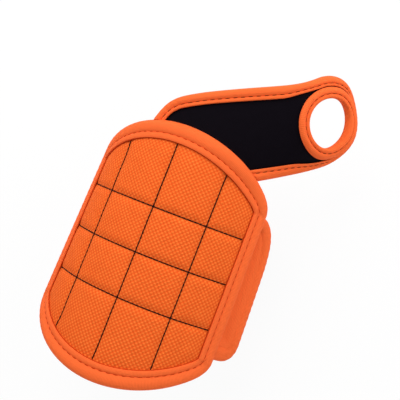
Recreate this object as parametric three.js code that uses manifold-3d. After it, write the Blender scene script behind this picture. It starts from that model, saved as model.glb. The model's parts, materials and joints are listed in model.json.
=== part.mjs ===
// Magnetic wristband: a padded panel whose stitched cells each hide a magnet, closed round the
// forearm by a wrap band and a tab, with a hand strap that ends in a thumb hole.
// Every soft piece is drawn flat, the way its cloth is cut, and then wrapped onto the arm form.
// Flat places are (s, y, h): s is arc length from the top of the cuff towards the thumb, y runs
// along the arm to the hand, and h stands out from the form.
// Millimetres. +X points to the thumb, +Y to the hand, +Z up from the face the cuff rests on.
import * as THREE from "three";
import { mergeVertices } from "three/addons/utils/BufferGeometryUtils.js";
import Module from "manifold-3d";

const wasm = await Module();
wasm.setup();

// Arm form
const CUFF_HALF_WIDTH = 48.5; // at y = 0, outside the panel
const CUFF_HALF_HEIGHT = 41.2; // from the arm's axis to the top of the panel at y = 0
const CUFF_TAPER = 0.052; // half width lost for each millimetre towards the hand
const AXIS_HEIGHT = 34; // arm's axis above the rest face
const REST_HALF_WIDTH = 16; // flat underside of the closed cuff
const WRIST_Y = 44; // where the arm starts to widen into the hand
const THUMB_Y = 88; // where the base of the thumb is widest
const KNUCKLE_Y = 124; // where the hand ends
const HAND_HALF_HEIGHT = 37;
const THUMB_BULGE = 25; // how far the base of the thumb stands out past the arm
const THUMB_WEB_DEPTH = 13; // how far the side of the hand falls back past the thumb

// Padded panel
const COLUMNS = 4;
const ROWS = 4;
const CELL_WIDTH = 27.1;
const CELL_LENGTH = 22.4;
const PANEL_SIDE_MARGIN = 1.3; // cloth past the outer cells
const CORNER_DROP = 3.9; // straight sides end this far short of the outer cells
const HAND_ARCH = 21.5; // rise of the rounded ends over the straight sides
const ELBOW_ARCH = 20.6;
const PANEL_CORNER = 9;
const FACE_CLOTH = 1.2;
const FOAM = 2.9;
const LINING_CLOTH = 0.7;
const CHANNEL_DEPTH = 0.8; // how far each seam pulls the face down
const CHANNEL_REACH = 4.5;
const PANEL_BINDING = 8.5;

// Magnets
const MAGNET_WIDTH = 11; // across the arm
const MAGNET_LENGTH = 14;
const MAGNET_THICKNESS = 2;
const MAGNET_CORNER = 1.5;
const MAGNET_SEAM_SPACE = 3; // from a cross seam to the magnets beside it

// Wrap band, closing tab and their fastening
const BAND_HALF_LENGTH = 29; // along the arm
const BAND_OVERLAP = 11; // free end tucked under the panel
const BAND_CORNER = 9;
const BAND_CLOTH = 1;
const BAND_BINDING = 7;
const LOOP_PATCH = 0.8;
const LOOP_PROUD = 0.05; // how far the patch stands over the band's tape
const LOOP_PATCH_START = 26; // from the hinge edge
const TAB_REACH = 14.4;
const TAB_SETBACK = 5.9; // its ends stop this far short of the panel's straight side
const TAB_CORNER = 9; // at the elbow
const TAB_HAND_TAPER = 26; // its reach runs out over this length at the hand
const TAB_CLOTH = 1.2;
const TAB_BINDING = 7;
const TAB_LIFT = 3; // its free end stands this far out, over the end of the band
const HOOK_TAPE = 1.2;

// Hand strap
const STRAP_LEFT_SETBACK = 38; // its seam on the hand edge stops this far inside the panel's sides
const STRAP_RIGHT_SETBACK = 12.5;
const STRAP_UNDERLAP = 5; // how far its cloth is cut past that seam before it is trimmed
const STRAP_DEPTH = 1.6; // its face lies this far under the panel's
const STRAP_CLOTH = 1.1;
const STRAP_EASE = 0.2; // the tape's extra room under the strap
const STRAP_BINDING = 5.2;
const STRAP_HAND_EDGE = [[39, 95.8], [1, 79], [-12, 71.5]]; // (s, y) along the back of the hand
const THUMB_HOLE_S = 66.4;
const THUMB_HOLE_Y = 88;
const THUMB_HOLE_ACROSS = 27;
const THUMB_HOLE_ALONG = 25.6;
const THUMB_HOLE_BINDING = 4.6;
const THUMB_LOOP = 8.8; // cloth round the thumb hole

// Shared by the bound edges
const BINDING_CLOTH = 0.8;
const BINDING_ROLL = 1; // how far a bound edge bulges past the cut edge
const LAYER_GAP = 0.3;
const BINDING_GAP = 0.45;
const SEAM_GAP = 0.5; // between a moving piece and the panel's bound edge

// Mesh fineness
const QUARTER_STEPS = 96;
const PANEL_LOOP_STEPS = 72;
const STRAP_EDGE_STEPS = 84;
const STRAP_COLUMNS = 34;
const STRAP_ROWS = 12;
const HOLE_STEPS = 32;

const orangeCloth = { color: 0xf26a1c, roughness: 0.85, metalness: 0 };
const orangeTape = { color: 0xff6c32, roughness: 0.7, metalness: 0 };
const blackCloth = { color: 0x0d0a10, roughness: 0.95, metalness: 0 };
const blackMesh = { color: 0x17161a, roughness: 0.95, metalness: 0 };
const greyFoam = { color: 0x6a6a6e, roughness: 1, metalness: 0 };
const blackHook = { color: 0x111114, roughness: 0.9, metalness: 0 };
const magnetSteel = { color: 0x8e9094, roughness: 0.35, metalness: 1 };

// Derived places
const panelHalfWidth = (COLUMNS / 2) * CELL_WIDTH + PANEL_SIDE_MARGIN;
const panelSideHalf = (ROWS / 2) * CELL_LENGTH - CORNER_DROP;
const foamTop = -FACE_CLOTH - LAYER_GAP;
const liningTop = foamTop - FOAM - LAYER_GAP;
const panelUnder = liningTop - LINING_CLOTH;
const panelBindingTop = BINDING_GAP + BINDING_CLOTH;
const panelBindingLow = panelUnder - BINDING_GAP - BINDING_CLOTH;
const hingeArc = panelHalfWidth + BINDING_ROLL + SEAM_GAP;
const layerInset = BINDING_CLOTH; // cloth layers stop this far inside a bound edge

const { clamp, lerp, smoothstep } = THREE.MathUtils;
const swell = (y, from, to) => (1 - Math.cos(Math.PI * clamp((y - from) / (to - from), 0, 1))) / 2;

// Arm form: a tapered oval that stands on a flat, and widens into the base of the thumb.
function sectionAt(y) {
  const arm = CUFF_HALF_WIDTH - CUFF_TAPER * y;
  const armTop = (arm * CUFF_HALF_HEIGHT) / CUFF_HALF_WIDTH;
  const hand = swell(y, WRIST_Y, THUMB_Y);
  const web = swell(y, THUMB_Y, KNUCKLE_Y);
  return {
    left: arm,
    right: arm + THUMB_BULGE * hand - THUMB_WEB_DEPTH * web,
    top: lerp(armTop, HAND_HALF_HEIGHT, hand),
  };
}

// Lengths along a quarter of an ellipse, measured from where it crosses the vertical axis.
const quarterTables = new Map();
function quarterTable(across, up) {
  const key = across + " " + up;
  if (quarterTables.has(key)) return quarterTables.get(key);
  const lengths = [0];
  for (let i = 1; i <= QUARTER_STEPS; i++) {
    const a = ((i - 1) / QUARTER_STEPS) * (Math.PI / 2);
    const b = (i / QUARTER_STEPS) * (Math.PI / 2);
    const dx = across * (Math.sin(b) - Math.sin(a));
    const dz = up * (Math.cos(b) - Math.cos(a));
    lengths.push(lengths[i - 1] + Math.hypot(dx, dz));
  }
  quarterTables.set(key, lengths);
  return lengths;
}

function angleAt(lengths, length) {
  let i = 1;
  while (i < QUARTER_STEPS && lengths[i] < length) i++;
  const part = (length - lengths[i - 1]) / (lengths[i] - lengths[i - 1]);
  return ((i - 1 + part) / QUARTER_STEPS) * (Math.PI / 2);
}

// Half the way round the form on the arm, where both halves are alike.
function halfGirth(y) {
  const { left, top } = sectionAt(y);
  const upper = quarterTable(left, top)[QUARTER_STEPS];
  const lower = quarterTable(left - REST_HALF_WIDTH, AXIS_HEIGHT)[QUARTER_STEPS];
  return upper + lower + REST_HALF_WIDTH;
}

// The point at arc s, along the arm y, standing h out from the form.
function onForm(s, y, h) {
  const { left, right, top } = sectionAt(y);
  const side = s < 0 ? -1 : 1;
  const wide = side < 0 ? left : right;
  const upper = quarterTable(wide, top);
  const lower = quarterTable(wide - REST_HALF_WIDTH, AXIS_HEIGHT);
  const upperLength = upper[QUARTER_STEPS];
  const lowerLength = lower[QUARTER_STEPS];
  const arc = Math.abs(s);
  let x;
  let z;
  let out;
  if (arc <= upperLength) {
    const t = angleAt(upper, arc);
    x = wide * Math.sin(t);
    z = top * Math.cos(t);
    out = new THREE.Vector2(top * Math.sin(t), wide * Math.cos(t));
  } else if (arc <= upperLength + lowerLength) {
    const t = angleAt(lower, upperLength + lowerLength - arc);
    x = REST_HALF_WIDTH + (wide - REST_HALF_WIDTH) * Math.sin(t);
    z = -AXIS_HEIGHT * Math.cos(t);
    out = new THREE.Vector2(AXIS_HEIGHT * Math.sin(t), -(wide - REST_HALF_WIDTH) * Math.cos(t));
  } else {
    x = REST_HALF_WIDTH - (arc - upperLength - lowerLength);
    z = -AXIS_HEIGHT;
    out = new THREE.Vector2(0, -1);
  }
  out.normalize();
  return new THREE.Vector3(side * (x + h * out.x), y, AXIS_HEIGHT + z + h * out.y);
}

// Closed body from points and triangles, with its faces turned outwards.
function body(points, triangles) {
  let volume = 0;
  for (const [a, b, c] of triangles) {
    volume += points[a].dot(new THREE.Vector3().crossVectors(points[b], points[c]));
  }
  const geometry = new THREE.BufferGeometry().setFromPoints(points);
  geometry.setIndex(triangles.flatMap(([a, b, c]) => (volume < 0 ? [a, c, b] : [a, b, c])));
  return geometry;
}

// A layer of cloth or foam: columns of equal row counts between an under and an over face.
function layer(columns, rowsAt, under, over, at) {
  const grid = columns.map((u) => rowsAt(u).map((v) => [u, v]));
  const across = grid.length;
  const along = grid[0].length;
  const points = [];
  for (const height of [over, under]) {
    for (const column of grid) {
      for (const [u, v] of column) points.push(at(u, v, height(u, v)));
    }
  }
  const top = (i, j) => i * along + j;
  const low = (i, j) => across * along + i * along + j;
  const triangles = [];
  const quad = (a, b, c, d) => triangles.push([a, b, c], [a, c, d]);
  for (let i = 0; i + 1 < across; i++) {
    // Both faces split along the same diagonal, so stacked layers stay parallel.
    for (let j = 0; j + 1 < along; j++) {
      quad(top(i, j), top(i + 1, j), top(i + 1, j + 1), top(i, j + 1));
      quad(low(i, j), low(i, j + 1), low(i + 1, j + 1), low(i + 1, j));
    }
    quad(low(i, 0), low(i + 1, 0), top(i + 1, 0), top(i, 0));
    quad(top(i, along - 1), top(i + 1, along - 1), low(i + 1, along - 1), low(i, along - 1));
  }
  for (let j = 0; j + 1 < along; j++) {
    quad(top(0, j), top(0, j + 1), low(0, j + 1), low(0, j));
    quad(low(across - 1, j), low(across - 1, j + 1), top(across - 1, j + 1), top(across - 1, j));
  }
  return body(points, triangles);
}

// A bound edge: the folded tape's section carried along a flat line. Each place on the line
// has the direction in which the cloth lies.
function tape(line, sectionAt, at, closed) {
  const points = [];
  for (const place of line) {
    const { u, v, inU, inV } = place;
    for (const [d, h] of sectionAt(place)) points.push(at(u + inU * d, v + inV * d, h));
  }
  const count = points.length / line.length;
  const triangles = [];
  const last = closed ? line.length : line.length - 1;
  for (let i = 0; i < last; i++) {
    const next = ((i + 1) % line.length) * count;
    for (let j = 0; j < count; j++) {
      const k = (j + 1) % count;
      triangles.push([i * count + j, next + j, next + k], [i * count + j, next + k, i * count + k]);
    }
  }
  if (!closed) {
    const outline = sectionAt(line[0]).map(([d, h]) => new THREE.Vector2(d, h));
    const end = (line.length - 1) * count;
    for (const [a, b, c] of THREE.ShapeUtils.triangulateShape(outline, [])) {
      triangles.push([a, b, c], [end + a, end + c, end + b]);
    }
  }
  return body(points, triangles);
}

// Section of a binding tape folded round cloth between two heights, rolled at the cut edge.
function foldedTape(width, top, low) {
  const rise = (top - low) / 5;
  const shoulder = BINDING_CLOTH + BINDING_ROLL;
  const seat = BINDING_CLOTH / 4;
  return [
    [width, top],
    [shoulder, top],
    [-0.7 * BINDING_ROLL, top - rise],
    [-BINDING_ROLL, (top + low) / 2],
    [-0.7 * BINDING_ROLL, low + rise],
    [shoulder, low],
    [width, low],
    [width, low + BINDING_CLOTH],
    [seat, low + BINDING_CLOTH],
    [seat, top - BINDING_CLOTH],
    [width, top - BINDING_CLOTH],
  ];
}

// Places along an outline with the inward direction at each. The outline runs anticlockwise,
// so the cloth lies on its left.
function edgeLine(points, closed) {
  const count = points.length;
  return points.map((p, i) => {
    const before = closed ? points[(i + count - 1) % count] : points[Math.max(i - 1, 0)];
    const after = closed ? points[(i + 1) % count] : points[Math.min(i + 1, count - 1)];
    const way = new THREE.Vector2().subVectors(after, before).normalize();
    return { u: p.x, v: p.y, inU: -way.y, inV: way.x };
  });
}

const inset = (line, d) => line.map((p) => new THREE.Vector2(p.u + p.inU * d, p.v + p.inV * d));

// Lowest and highest y of a closed outline on the line s.
function spanAt(outline, s) {
  const crossings = [];
  outline.forEach((a, i) => {
    const b = outline[(i + 1) % outline.length];
    if (a.x === b.x || (a.x - s) * (b.x - s) > 0) return;
    crossings.push(a.y + ((b.y - a.y) * (s - a.x)) / (b.x - a.x));
  });
  return [Math.min(...crossings), Math.max(...crossings)];
}

const evenly = (from, to, steps) =>
  Array.from({ length: steps + 1 }, (_, i) => from + ((to - from) * i) / steps);

// Solids for cutting and joining
function solidOf(geometry) {
  const bare = geometry.clone();
  bare.deleteAttribute("normal");
  bare.deleteAttribute("uv");
  const merged = mergeVertices(bare, 1e-4);
  return new wasm.Manifold(
    new wasm.Mesh({
      numProp: 3,
      vertProperties: new Float32Array(merged.attributes.position.array),
      triVerts: new Uint32Array(merged.index.array),
    }),
  );
}

function geometryOf(solid) {
  const mesh = solid.getMesh();
  const geometry = new THREE.BufferGeometry();
  geometry.setAttribute("position", new THREE.BufferAttribute(mesh.vertProperties, 3));
  geometry.setIndex(new THREE.BufferAttribute(mesh.triVerts, 1));
  return geometry;
}

function piece(name, geometry, look) {
  const mesh = new THREE.Mesh(geometry, new THREE.MeshStandardMaterial(look));
  mesh.name = name;
  return mesh;
}

// The hinge line of a moving body: a point on it and its direction.
function hinge(from, to) {
  return {
    point: new THREE.Vector3().addVectors(from, to).multiplyScalar(0.5),
    axis: new THREE.Vector3().subVectors(to, from).normalize(),
  };
}

// Padded panel: straight sides, arched ends and rounded corners.
function panelOutline() {
  const outline = new THREE.Shape();
  const turn = panelHalfWidth - PANEL_CORNER * Math.SQRT1_2;
  const share = (turn / panelHalfWidth) ** 2;
  const corner = (arch) => panelSideHalf + arch * (1 - share);
  const straight = panelSideHalf - PANEL_CORNER / 2;
  outline.moveTo(panelHalfWidth, -straight);
  outline.lineTo(panelHalfWidth, straight);
  outline.quadraticCurveTo(panelHalfWidth, panelSideHalf, turn, corner(HAND_ARCH));
  outline.quadraticCurveTo(0, panelSideHalf + HAND_ARCH * (1 + share), -turn, corner(HAND_ARCH));
  outline.quadraticCurveTo(-panelHalfWidth, panelSideHalf, -panelHalfWidth, straight);
  outline.lineTo(-panelHalfWidth, -straight);
  outline.quadraticCurveTo(-panelHalfWidth, -panelSideHalf, -turn, -corner(ELBOW_ARCH));
  outline.quadraticCurveTo(0, -panelSideHalf - ELBOW_ARCH * (1 + share), turn, -corner(ELBOW_ARCH));
  outline.quadraticCurveTo(panelHalfWidth, -panelSideHalf, panelHalfWidth, -straight);
  return outline.getSpacedPoints(PANEL_LOOP_STEPS).slice(0, -1);
}

const panelEdge = edgeLine(panelOutline(), true);
const panelCloth = inset(panelEdge, layerInset);

const seams = (count, pitch) =>
  Array.from({ length: count - 1 }, (_, i) => (i + 1 - count / 2) * pitch);
const longSeams = seams(COLUMNS, CELL_WIDTH);
const crossSeams = seams(ROWS, CELL_LENGTH);

// Columns follow the long seams closely and are the same in every layer of the panel.
function panelColumns() {
  const reach = panelHalfWidth - layerInset - LAYER_GAP;
  const bounds = [-reach, ...longSeams, reach];
  const columns = [];
  for (let i = 0; i + 1 < bounds.length; i++) {
    const first = bounds[i];
    const wide = bounds[i + 1] - first;
    const middles = [0.3, 0.5, 0.7].map((share) => first + wide * share);
    columns.push(first, first + CHANNEL_REACH / 2, ...middles, first + wide - CHANNEL_REACH / 2);
  }
  columns.push(reach);
  return columns;
}

// Rows hold to the cross seams and share what is left out to the arched ends.
function panelRows(s, fine) {
  const [low, high] = spanAt(panelCloth, s);
  const outer = Math.max(...crossSeams) + CHANNEL_REACH / 2;
  const inner = fine
    ? crossSeams.flatMap((y) => [y - CHANNEL_REACH / 2, y, y + CHANNEL_REACH / 2])
    : [-outer, 0, outer];
  const middles = fine
    ? crossSeams.slice(0, -1).map((y, i) => (y + crossSeams[i + 1]) / 2)
    : [];
  const ends = [0.35, 0.75, 1];
  const rows = [...inner, ...middles];
  for (const share of ends) rows.push(outer + (high - outer) * share, -outer + (low + outer) * share);
  return rows.sort((a, b) => a - b);
}

function panelFaceHeight(s, y) {
  const nearest = (lines, at) => Math.min(...lines.map((line) => Math.abs(at - line)));
  const away = Math.min(nearest(longSeams, s), nearest(crossSeams, y));
  return -CHANNEL_DEPTH * (1 - smoothstep(away, 0, CHANNEL_REACH));
}

// Magnets lie flat in their cells, one for each, beside the cross seams in the end rows.
function magnetPlaces() {
  const places = [];
  const endRow = Math.max(...crossSeams) + MAGNET_SEAM_SPACE + MAGNET_LENGTH / 2;
  for (let row = 0; row < ROWS; row++) {
    const middle = (row - (ROWS - 1) / 2) * CELL_LENGTH;
    const y = clamp(middle, -endRow, endRow);
    for (let column = 0; column < COLUMNS; column++) {
      places.push({ row, column, s: (column - (COLUMNS - 1) / 2) * CELL_WIDTH, y });
    }
  }
  return places;
}

function frameOnForm(s, y, h) {
  const place = onForm(s, y, h);
  const out = onForm(s, y, h + 1).sub(place).normalize();
  const across = onForm(s + 1, y, h).sub(onForm(s - 1, y, h)).normalize();
  const along = new THREE.Vector3().crossVectors(out, across);
  return new THREE.Matrix4().makeBasis(across, along, out).setPosition(place);
}

function magnetShape() {
  const shape = new THREE.Shape();
  const x = MAGNET_WIDTH / 2;
  const y = MAGNET_LENGTH / 2;
  const c = MAGNET_CORNER;
  shape.moveTo(x, y - c).lineTo(x - c, y).lineTo(c - x, y).lineTo(-x, y - c);
  shape.lineTo(-x, c - y).lineTo(c - x, -y).lineTo(x - c, -y).lineTo(x, c - y);
  return shape;
}

function makePanel() {
  const group = new THREE.Group();
  const columns = panelColumns();
  const flat = (h) => () => h;
  const fineRows = (s) => panelRows(s, true);
  const plainRows = (s) => panelRows(s, false);
  const face = layer(columns, fineRows, flat(-FACE_CLOTH), panelFaceHeight, onForm);
  const lining = layer(columns, plainRows, flat(panelUnder), flat(liningTop), onForm);
  let foam = solidOf(layer(columns, plainRows, flat(foamTop - FOAM), flat(foamTop), onForm));
  const windowWidth = MAGNET_WIDTH + 2 * LAYER_GAP;
  const windowLength = MAGNET_LENGTH + 2 * LAYER_GAP;
  const middle = foamTop - FOAM / 2;
  const magnet = new THREE.ExtrudeGeometry(magnetShape(), {
    depth: MAGNET_THICKNESS,
    bevelEnabled: false,
  }).translate(0, 0, -MAGNET_THICKNESS / 2);
  for (const { row, column, s, y } of magnetPlaces()) {
    const frame = frameOnForm(s, y, middle);
    const window = new THREE.BoxGeometry(windowWidth, windowLength, 3 * FOAM).applyMatrix4(frame);
    foam = foam.subtract(solidOf(window));
    const mesh = piece(`magnet_${row + 1}_${column + 1}`, magnet, magnetSteel);
    mesh.applyMatrix4(frame);
    group.add(mesh);
  }
  const binding = () => foldedTape(PANEL_BINDING, panelBindingTop, panelBindingLow);
  group.add(piece("panel_face", face, orangeCloth));
  group.add(piece("foam_core", geometryOf(foam), greyFoam));
  group.add(piece("panel_lining", lining, blackMesh));
  group.add(piece("panel_binding", tape(panelEdge, binding, onForm, true), orangeTape));
  return group;
}

// Closing tab: a short tongue past the panel's thumb-side edge, hooked on its inside.
const tabTop = -BINDING_CLOTH - BINDING_GAP - TAB_CLOTH;
const tabBindingTop = tabTop + BINDING_GAP + BINDING_CLOTH;
const tabBindingLow = tabTop - TAB_CLOTH - BINDING_GAP - BINDING_CLOTH;
const hookTop = tabTop - TAB_CLOTH - LAYER_GAP;
const hookUnder = hookTop - HOOK_TAPE;
const tabHalf = panelSideHalf - TAB_SETBACK;
const tabEnd = hingeArc + TAB_REACH;

function onTab(s, y, h) {
  return onForm(s, y, h + TAB_LIFT * smoothstep(s, hingeArc, tabEnd));
}

// Outline of a tongue that starts on the line u = from and runs to u = to. Its last corner
// takes turn across and taper along, so that it can be longer than round.
function tongue(from, to, half, corner, steps, turn = corner, taper = corner) {
  const way = new THREE.Path();
  way.moveTo(from, -half);
  way.lineTo(to - corner, -half);
  way.absarc(to - corner, corner - half, corner, -Math.PI / 2, 0, false);
  way.lineTo(to, half - taper);
  way.absellipse(to - turn, half - taper, turn, taper, 0, Math.PI / 2, false, 0);
  way.lineTo(from, half);
  return way.getSpacedPoints(steps);
}

// Columns of a tongue's layers, closer together round the corners of its free end.
function tongueColumns(from, to, corner, steps) {
  const columns = evenly(from, to - corner, steps);
  for (const turn of [0.35, 0.65, 0.88, 1]) columns.push(to - corner * (1 - turn));
  return columns;
}

function makeTab() {
  const group = new THREE.Group();
  const turn = TAB_REACH - LAYER_GAP;
  const outline = tongue(hingeArc, tabEnd, tabHalf, TAB_CORNER, 48, turn, TAB_HAND_TAPER);
  const edge = edgeLine(outline, false);
  const rowsOf = (d) => (s) => {
    const cut = inset(edge, d);
    const [low, high] = spanAt(cut, Math.max(s, hingeArc + 0.01));
    return evenly(low, high, 8);
  };
  const clothEnd = tabEnd - layerInset - LAYER_GAP;
  const faceColumns = tongueColumns(hingeArc, clothEnd, TAB_CORNER - layerInset, 4);
  const hookColumns = evenly(hingeArc, tabEnd - TAB_CORNER - LAYER_GAP, 2);
  const hookHalf = tabHalf - TAB_BINDING - LAYER_GAP;
  const face = layer(faceColumns, rowsOf(layerInset), () => tabTop - TAB_CLOTH, () => tabTop, onTab);
  const hookRows = () => evenly(-hookHalf, hookHalf - TAB_HAND_TAPER / 2, 6);
  const hook = layer(hookColumns, hookRows, () => hookUnder, () => hookTop, onTab);
  const section = () => foldedTape(TAB_BINDING, tabBindingTop, tabBindingLow);
  group.add(piece("tab_face", face, orangeCloth));
  group.add(piece("hook_tape", hook, blackHook));
  group.add(piece("tab_binding", tape(edge, section, onTab, false), orangeTape));
  const line = hingeArc - SEAM_GAP / 2;
  group.userData.hinge = hinge(
    onForm(line, -tabHalf, tabBindingTop),
    onForm(line, tabHalf, tabBindingTop),
  );
  return group;
}

// Wrap band: from the panel's other edge, under the arm, and up inside the tab and the panel.
const bandTop = -LOOP_PATCH - LAYER_GAP;
const bandLiningTop = bandTop - BAND_CLOTH - LAYER_GAP;
const bandUnder = bandLiningTop - LINING_CLOTH;
const bandBindingTop = bandTop + LAYER_GAP + BINDING_CLOTH - LOOP_PROUD;
const bandBindingLow = bandUnder - BINDING_GAP - BINDING_CLOTH;
const bandEnd = panelHalfWidth - BAND_OVERLAP;
const bandLength = 2 * halfGirth(0) - hingeArc - bandEnd;
const tuckUnderTab = Math.max(BINDING_GAP - tabBindingLow - TAB_LIFT, 0);
const tuckUnderPanel = Math.max(-panelBindingLow, -hookUnder) + BINDING_GAP;

// The band's own flat place (u from the hinge edge, v along the arm) wrapped onto the form.
// On the tapered arm its cut narrows with the girth, and its free end dives under tab and panel.
function onBand(u, v, h) {
  const half = halfGirth(v);
  const share = u / bandLength;
  const arc = hingeArc + share * (2 * half - hingeArc - bandEnd);
  const s = arc <= half ? -arc : 2 * half - arc;
  if (arc <= half) return onForm(s, v, h);
  const toTab = 1 - smoothstep(s, tabEnd, half - REST_HALF_WIDTH);
  const toPanel = 1 - smoothstep(s, hingeArc, tabEnd + TAB_REACH);
  return onForm(s, v, h - lerp(tuckUnderTab * toTab, tuckUnderPanel, toPanel));
}

function makeBand() {
  const group = new THREE.Group();
  const outline = tongue(0, bandLength, BAND_HALF_LENGTH, BAND_CORNER, 92);
  const edge = edgeLine(outline, false);
  const cloth = inset(edge, layerInset);
  const rows = (u) => {
    const [low, high] = spanAt(cloth, Math.max(u, 0.01));
    return evenly(low, high, 4);
  };
  const end = bandLength - layerInset - LAYER_GAP;
  const columns = tongueColumns(0, end, BAND_CORNER - layerInset, 28);
  const face = layer(columns, rows, () => bandTop - BAND_CLOTH, () => bandTop, onBand);
  const lining = layer(columns, rows, () => bandUnder, () => bandLiningTop, onBand);
  const patchHalf = BAND_HALF_LENGTH - BAND_BINDING - LAYER_GAP;
  const patchEnd = bandLength - BAND_CORNER - LAYER_GAP;
  const patchRows = () => evenly(-patchHalf, patchHalf, 4);
  const patchColumns = evenly(LOOP_PATCH_START, patchEnd, 26);
  const patch = layer(patchColumns, patchRows, () => bandTop + LAYER_GAP, () => 0, onBand);
  const section = () => foldedTape(BAND_BINDING, bandBindingTop, bandBindingLow);
  group.add(piece("band_face", face, orangeCloth));
  group.add(piece("band_lining", lining, blackMesh));
  group.add(piece("loop_patch", patch, blackCloth));
  group.add(piece("band_binding", tape(edge, section, onBand, false), orangeTape));
  const line = -hingeArc + SEAM_GAP / 2;
  group.userData.hinge = hinge(
    onForm(line, -BAND_HALF_LENGTH, panelBindingTop),
    onForm(line, BAND_HALF_LENGTH, panelBindingTop),
  );
  return group;
}

// Hand strap: a black tongue from the panel's hand edge to a bound thumb hole.
const strapTop = -STRAP_DEPTH;
const strapLiningTop = strapTop - STRAP_CLOTH - LAYER_GAP;
const strapUnder = strapLiningTop - LINING_CLOTH;
const strapBindingTop = strapTop + BINDING_GAP + BINDING_CLOTH;
const strapBindingLow = strapUnder - BINDING_GAP - STRAP_EASE - BINDING_CLOTH;
const panelReach = inset(panelEdge, -BINDING_ROLL - SEAM_GAP);
const strapSeamY = (s) => spanAt(panelReach, s)[1];
const strapLeft = STRAP_LEFT_SETBACK - panelHalfWidth;
const strapRight = panelHalfWidth - STRAP_RIGHT_SETBACK;

const loopS = THUMB_HOLE_ACROSS / 2 + THUMB_LOOP;
const loopY = THUMB_HOLE_ALONG / 2 + THUMB_LOOP;
const loopBinding = THUMB_LOOP - THUMB_HOLE_BINDING - BINDING_GAP;

// How far a flat place lies from the thumb hole's centre, in units of the loop's own radius.
const fromLoop = (s, y) => new THREE.Vector2((s - THUMB_HOLE_S) / loopS, (y - THUMB_HOLE_Y) / loopY);

// Angle round the loop where a straight line from the place (s, y) touches it, on either side.
function touchAngle(s, y, side) {
  const away = fromLoop(s, y);
  return away.angle() + side * Math.acos(1 / away.length());
}

// Free edge from under the panel's thumb side, round the thumb hole and back along the hand.
function strapFreeEdge() {
  const right = new THREE.Vector2(strapRight, strapSeamY(strapRight));
  const left = new THREE.Vector2(strapLeft, strapSeamY(strapLeft));
  const entry = touchAngle(right.x, right.y, 1);
  const exit = touchAngle(...STRAP_HAND_EDGE[0], -1);
  const first = new THREE.Vector2(
    THUMB_HOLE_S + loopS * Math.cos(entry),
    THUMB_HOLE_Y + loopY * Math.sin(entry),
  );
  const under = right.clone().sub(first).setLength(STRAP_UNDERLAP).add(right);
  const way = new THREE.Path();
  way.moveTo(under.x, under.y);
  way.lineTo(first.x, first.y);
  way.absellipse(THUMB_HOLE_S, THUMB_HOLE_Y, loopS, loopY, entry, exit, false, 0);
  way.splineThru([
    ...STRAP_HAND_EDGE.map(([s, y]) => new THREE.Vector2(s, y)),
    left,
    new THREE.Vector2(left.x, left.y - STRAP_UNDERLAP),
  ]);
  return way.getSpacedPoints(STRAP_EDGE_STEPS);
}

// The room that the panel's hand edge takes, which the strap is cut back from.
function panelRoom() {
  const columns = evenly(-panelHalfWidth, panelHalfWidth, PANEL_LOOP_STEPS / 2);
  const rows = (s) => evenly(strapSeamY(s) - 4 * STRAP_UNDERLAP, strapSeamY(s), 4);
  const reach = 2 * (panelBindingTop - panelBindingLow);
  return layer(columns, rows, () => -reach, () => reach, onForm);
}

// A plug through the strap, for cutting the thumb hole.
function holePlug(outline) {
  const reach = 2 * (strapTop - strapUnder);
  const heights = [strapTop + reach, strapUnder - reach];
  const count = outline.length;
  const points = heights.flatMap((h) => outline.map((p) => onForm(p.x, p.y, h)));
  points.push(...heights.map((h) => onForm(THUMB_HOLE_S, THUMB_HOLE_Y, h)));
  const triangles = [];
  for (let i = 0; i < count; i++) {
    const j = (i + 1) % count;
    triangles.push([i, count + i, count + j], [i, count + j, j]);
    triangles.push([i, j, 2 * count], [count + j, count + i, 2 * count + 1]);
  }
  return body(points, triangles);
}

function makeStrap() {
  const group = new THREE.Group();
  const edge = edgeLine(strapFreeEdge(), false);
  const cut = inset(edge, layerInset);
  const ends = cut.map((p) => p.x);
  const first = Math.min(...ends) + LAYER_GAP;
  const columns = evenly(first, Math.max(...ends) - LAYER_GAP, STRAP_COLUMNS);
  const rows = (s) => evenly(...spanAt(cut, s), STRAP_ROWS);
  const hole = new THREE.EllipseCurve(
    THUMB_HOLE_S,
    THUMB_HOLE_Y,
    THUMB_HOLE_ACROSS / 2,
    THUMB_HOLE_ALONG / 2,
  );
  // Round the hole the cloth lies on the outside, so its line runs the other way.
  const rim = edgeLine(hole.getSpacedPoints(HOLE_STEPS).slice(0, -1).reverse(), true);
  const plug = solidOf(holePlug(inset(rim, layerInset)));
  const room = solidOf(panelRoom());
  const sheet = (low, high) =>
    solidOf(layer(columns, rows, () => low, () => high, onForm)).subtract(room).subtract(plug);
  // Round the loop the tape narrows to leave room for the thumb hole's own.
  const section = ({ u, v }) => {
    const away = smoothstep(fromLoop(u, v).length(), 1, 1.4);
    return foldedTape(lerp(loopBinding, STRAP_BINDING, away), strapBindingTop, strapBindingLow);
  };
  const binding = solidOf(tape(edge, section, onForm, false)).subtract(room);
  const face = sheet(strapTop - STRAP_CLOTH, strapTop);
  const lining = sheet(strapUnder, strapLiningTop);
  group.add(piece("strap_face", geometryOf(face), blackCloth));
  group.add(piece("strap_lining", geometryOf(lining), blackMesh));
  group.add(piece("strap_binding", geometryOf(binding), orangeTape));
  const rimSection = () => foldedTape(THUMB_HOLE_BINDING, strapBindingTop, strapBindingLow);
  group.add(piece("thumb_hole_binding", tape(rim, rimSection, onForm, true), orangeTape));
  const middle = (strapLeft + strapRight) / 2;
  const step = CELL_WIDTH / 8;
  const onSeam = (s) => onForm(s, strapSeamY(s) - SEAM_GAP / 2, strapBindingTop);
  group.userData.hinge = hinge(onSeam(middle - step), onSeam(middle + step));
  return group;
}

const wristband = new THREE.Group();
wristband.add(makePanel(), makeTab(), makeBand(), makeStrap());
export default wristband;
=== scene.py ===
"""Magnetic wristband: its cloth, tapes and stitches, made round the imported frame."""

import json
import math
from typing import NamedTuple

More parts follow.
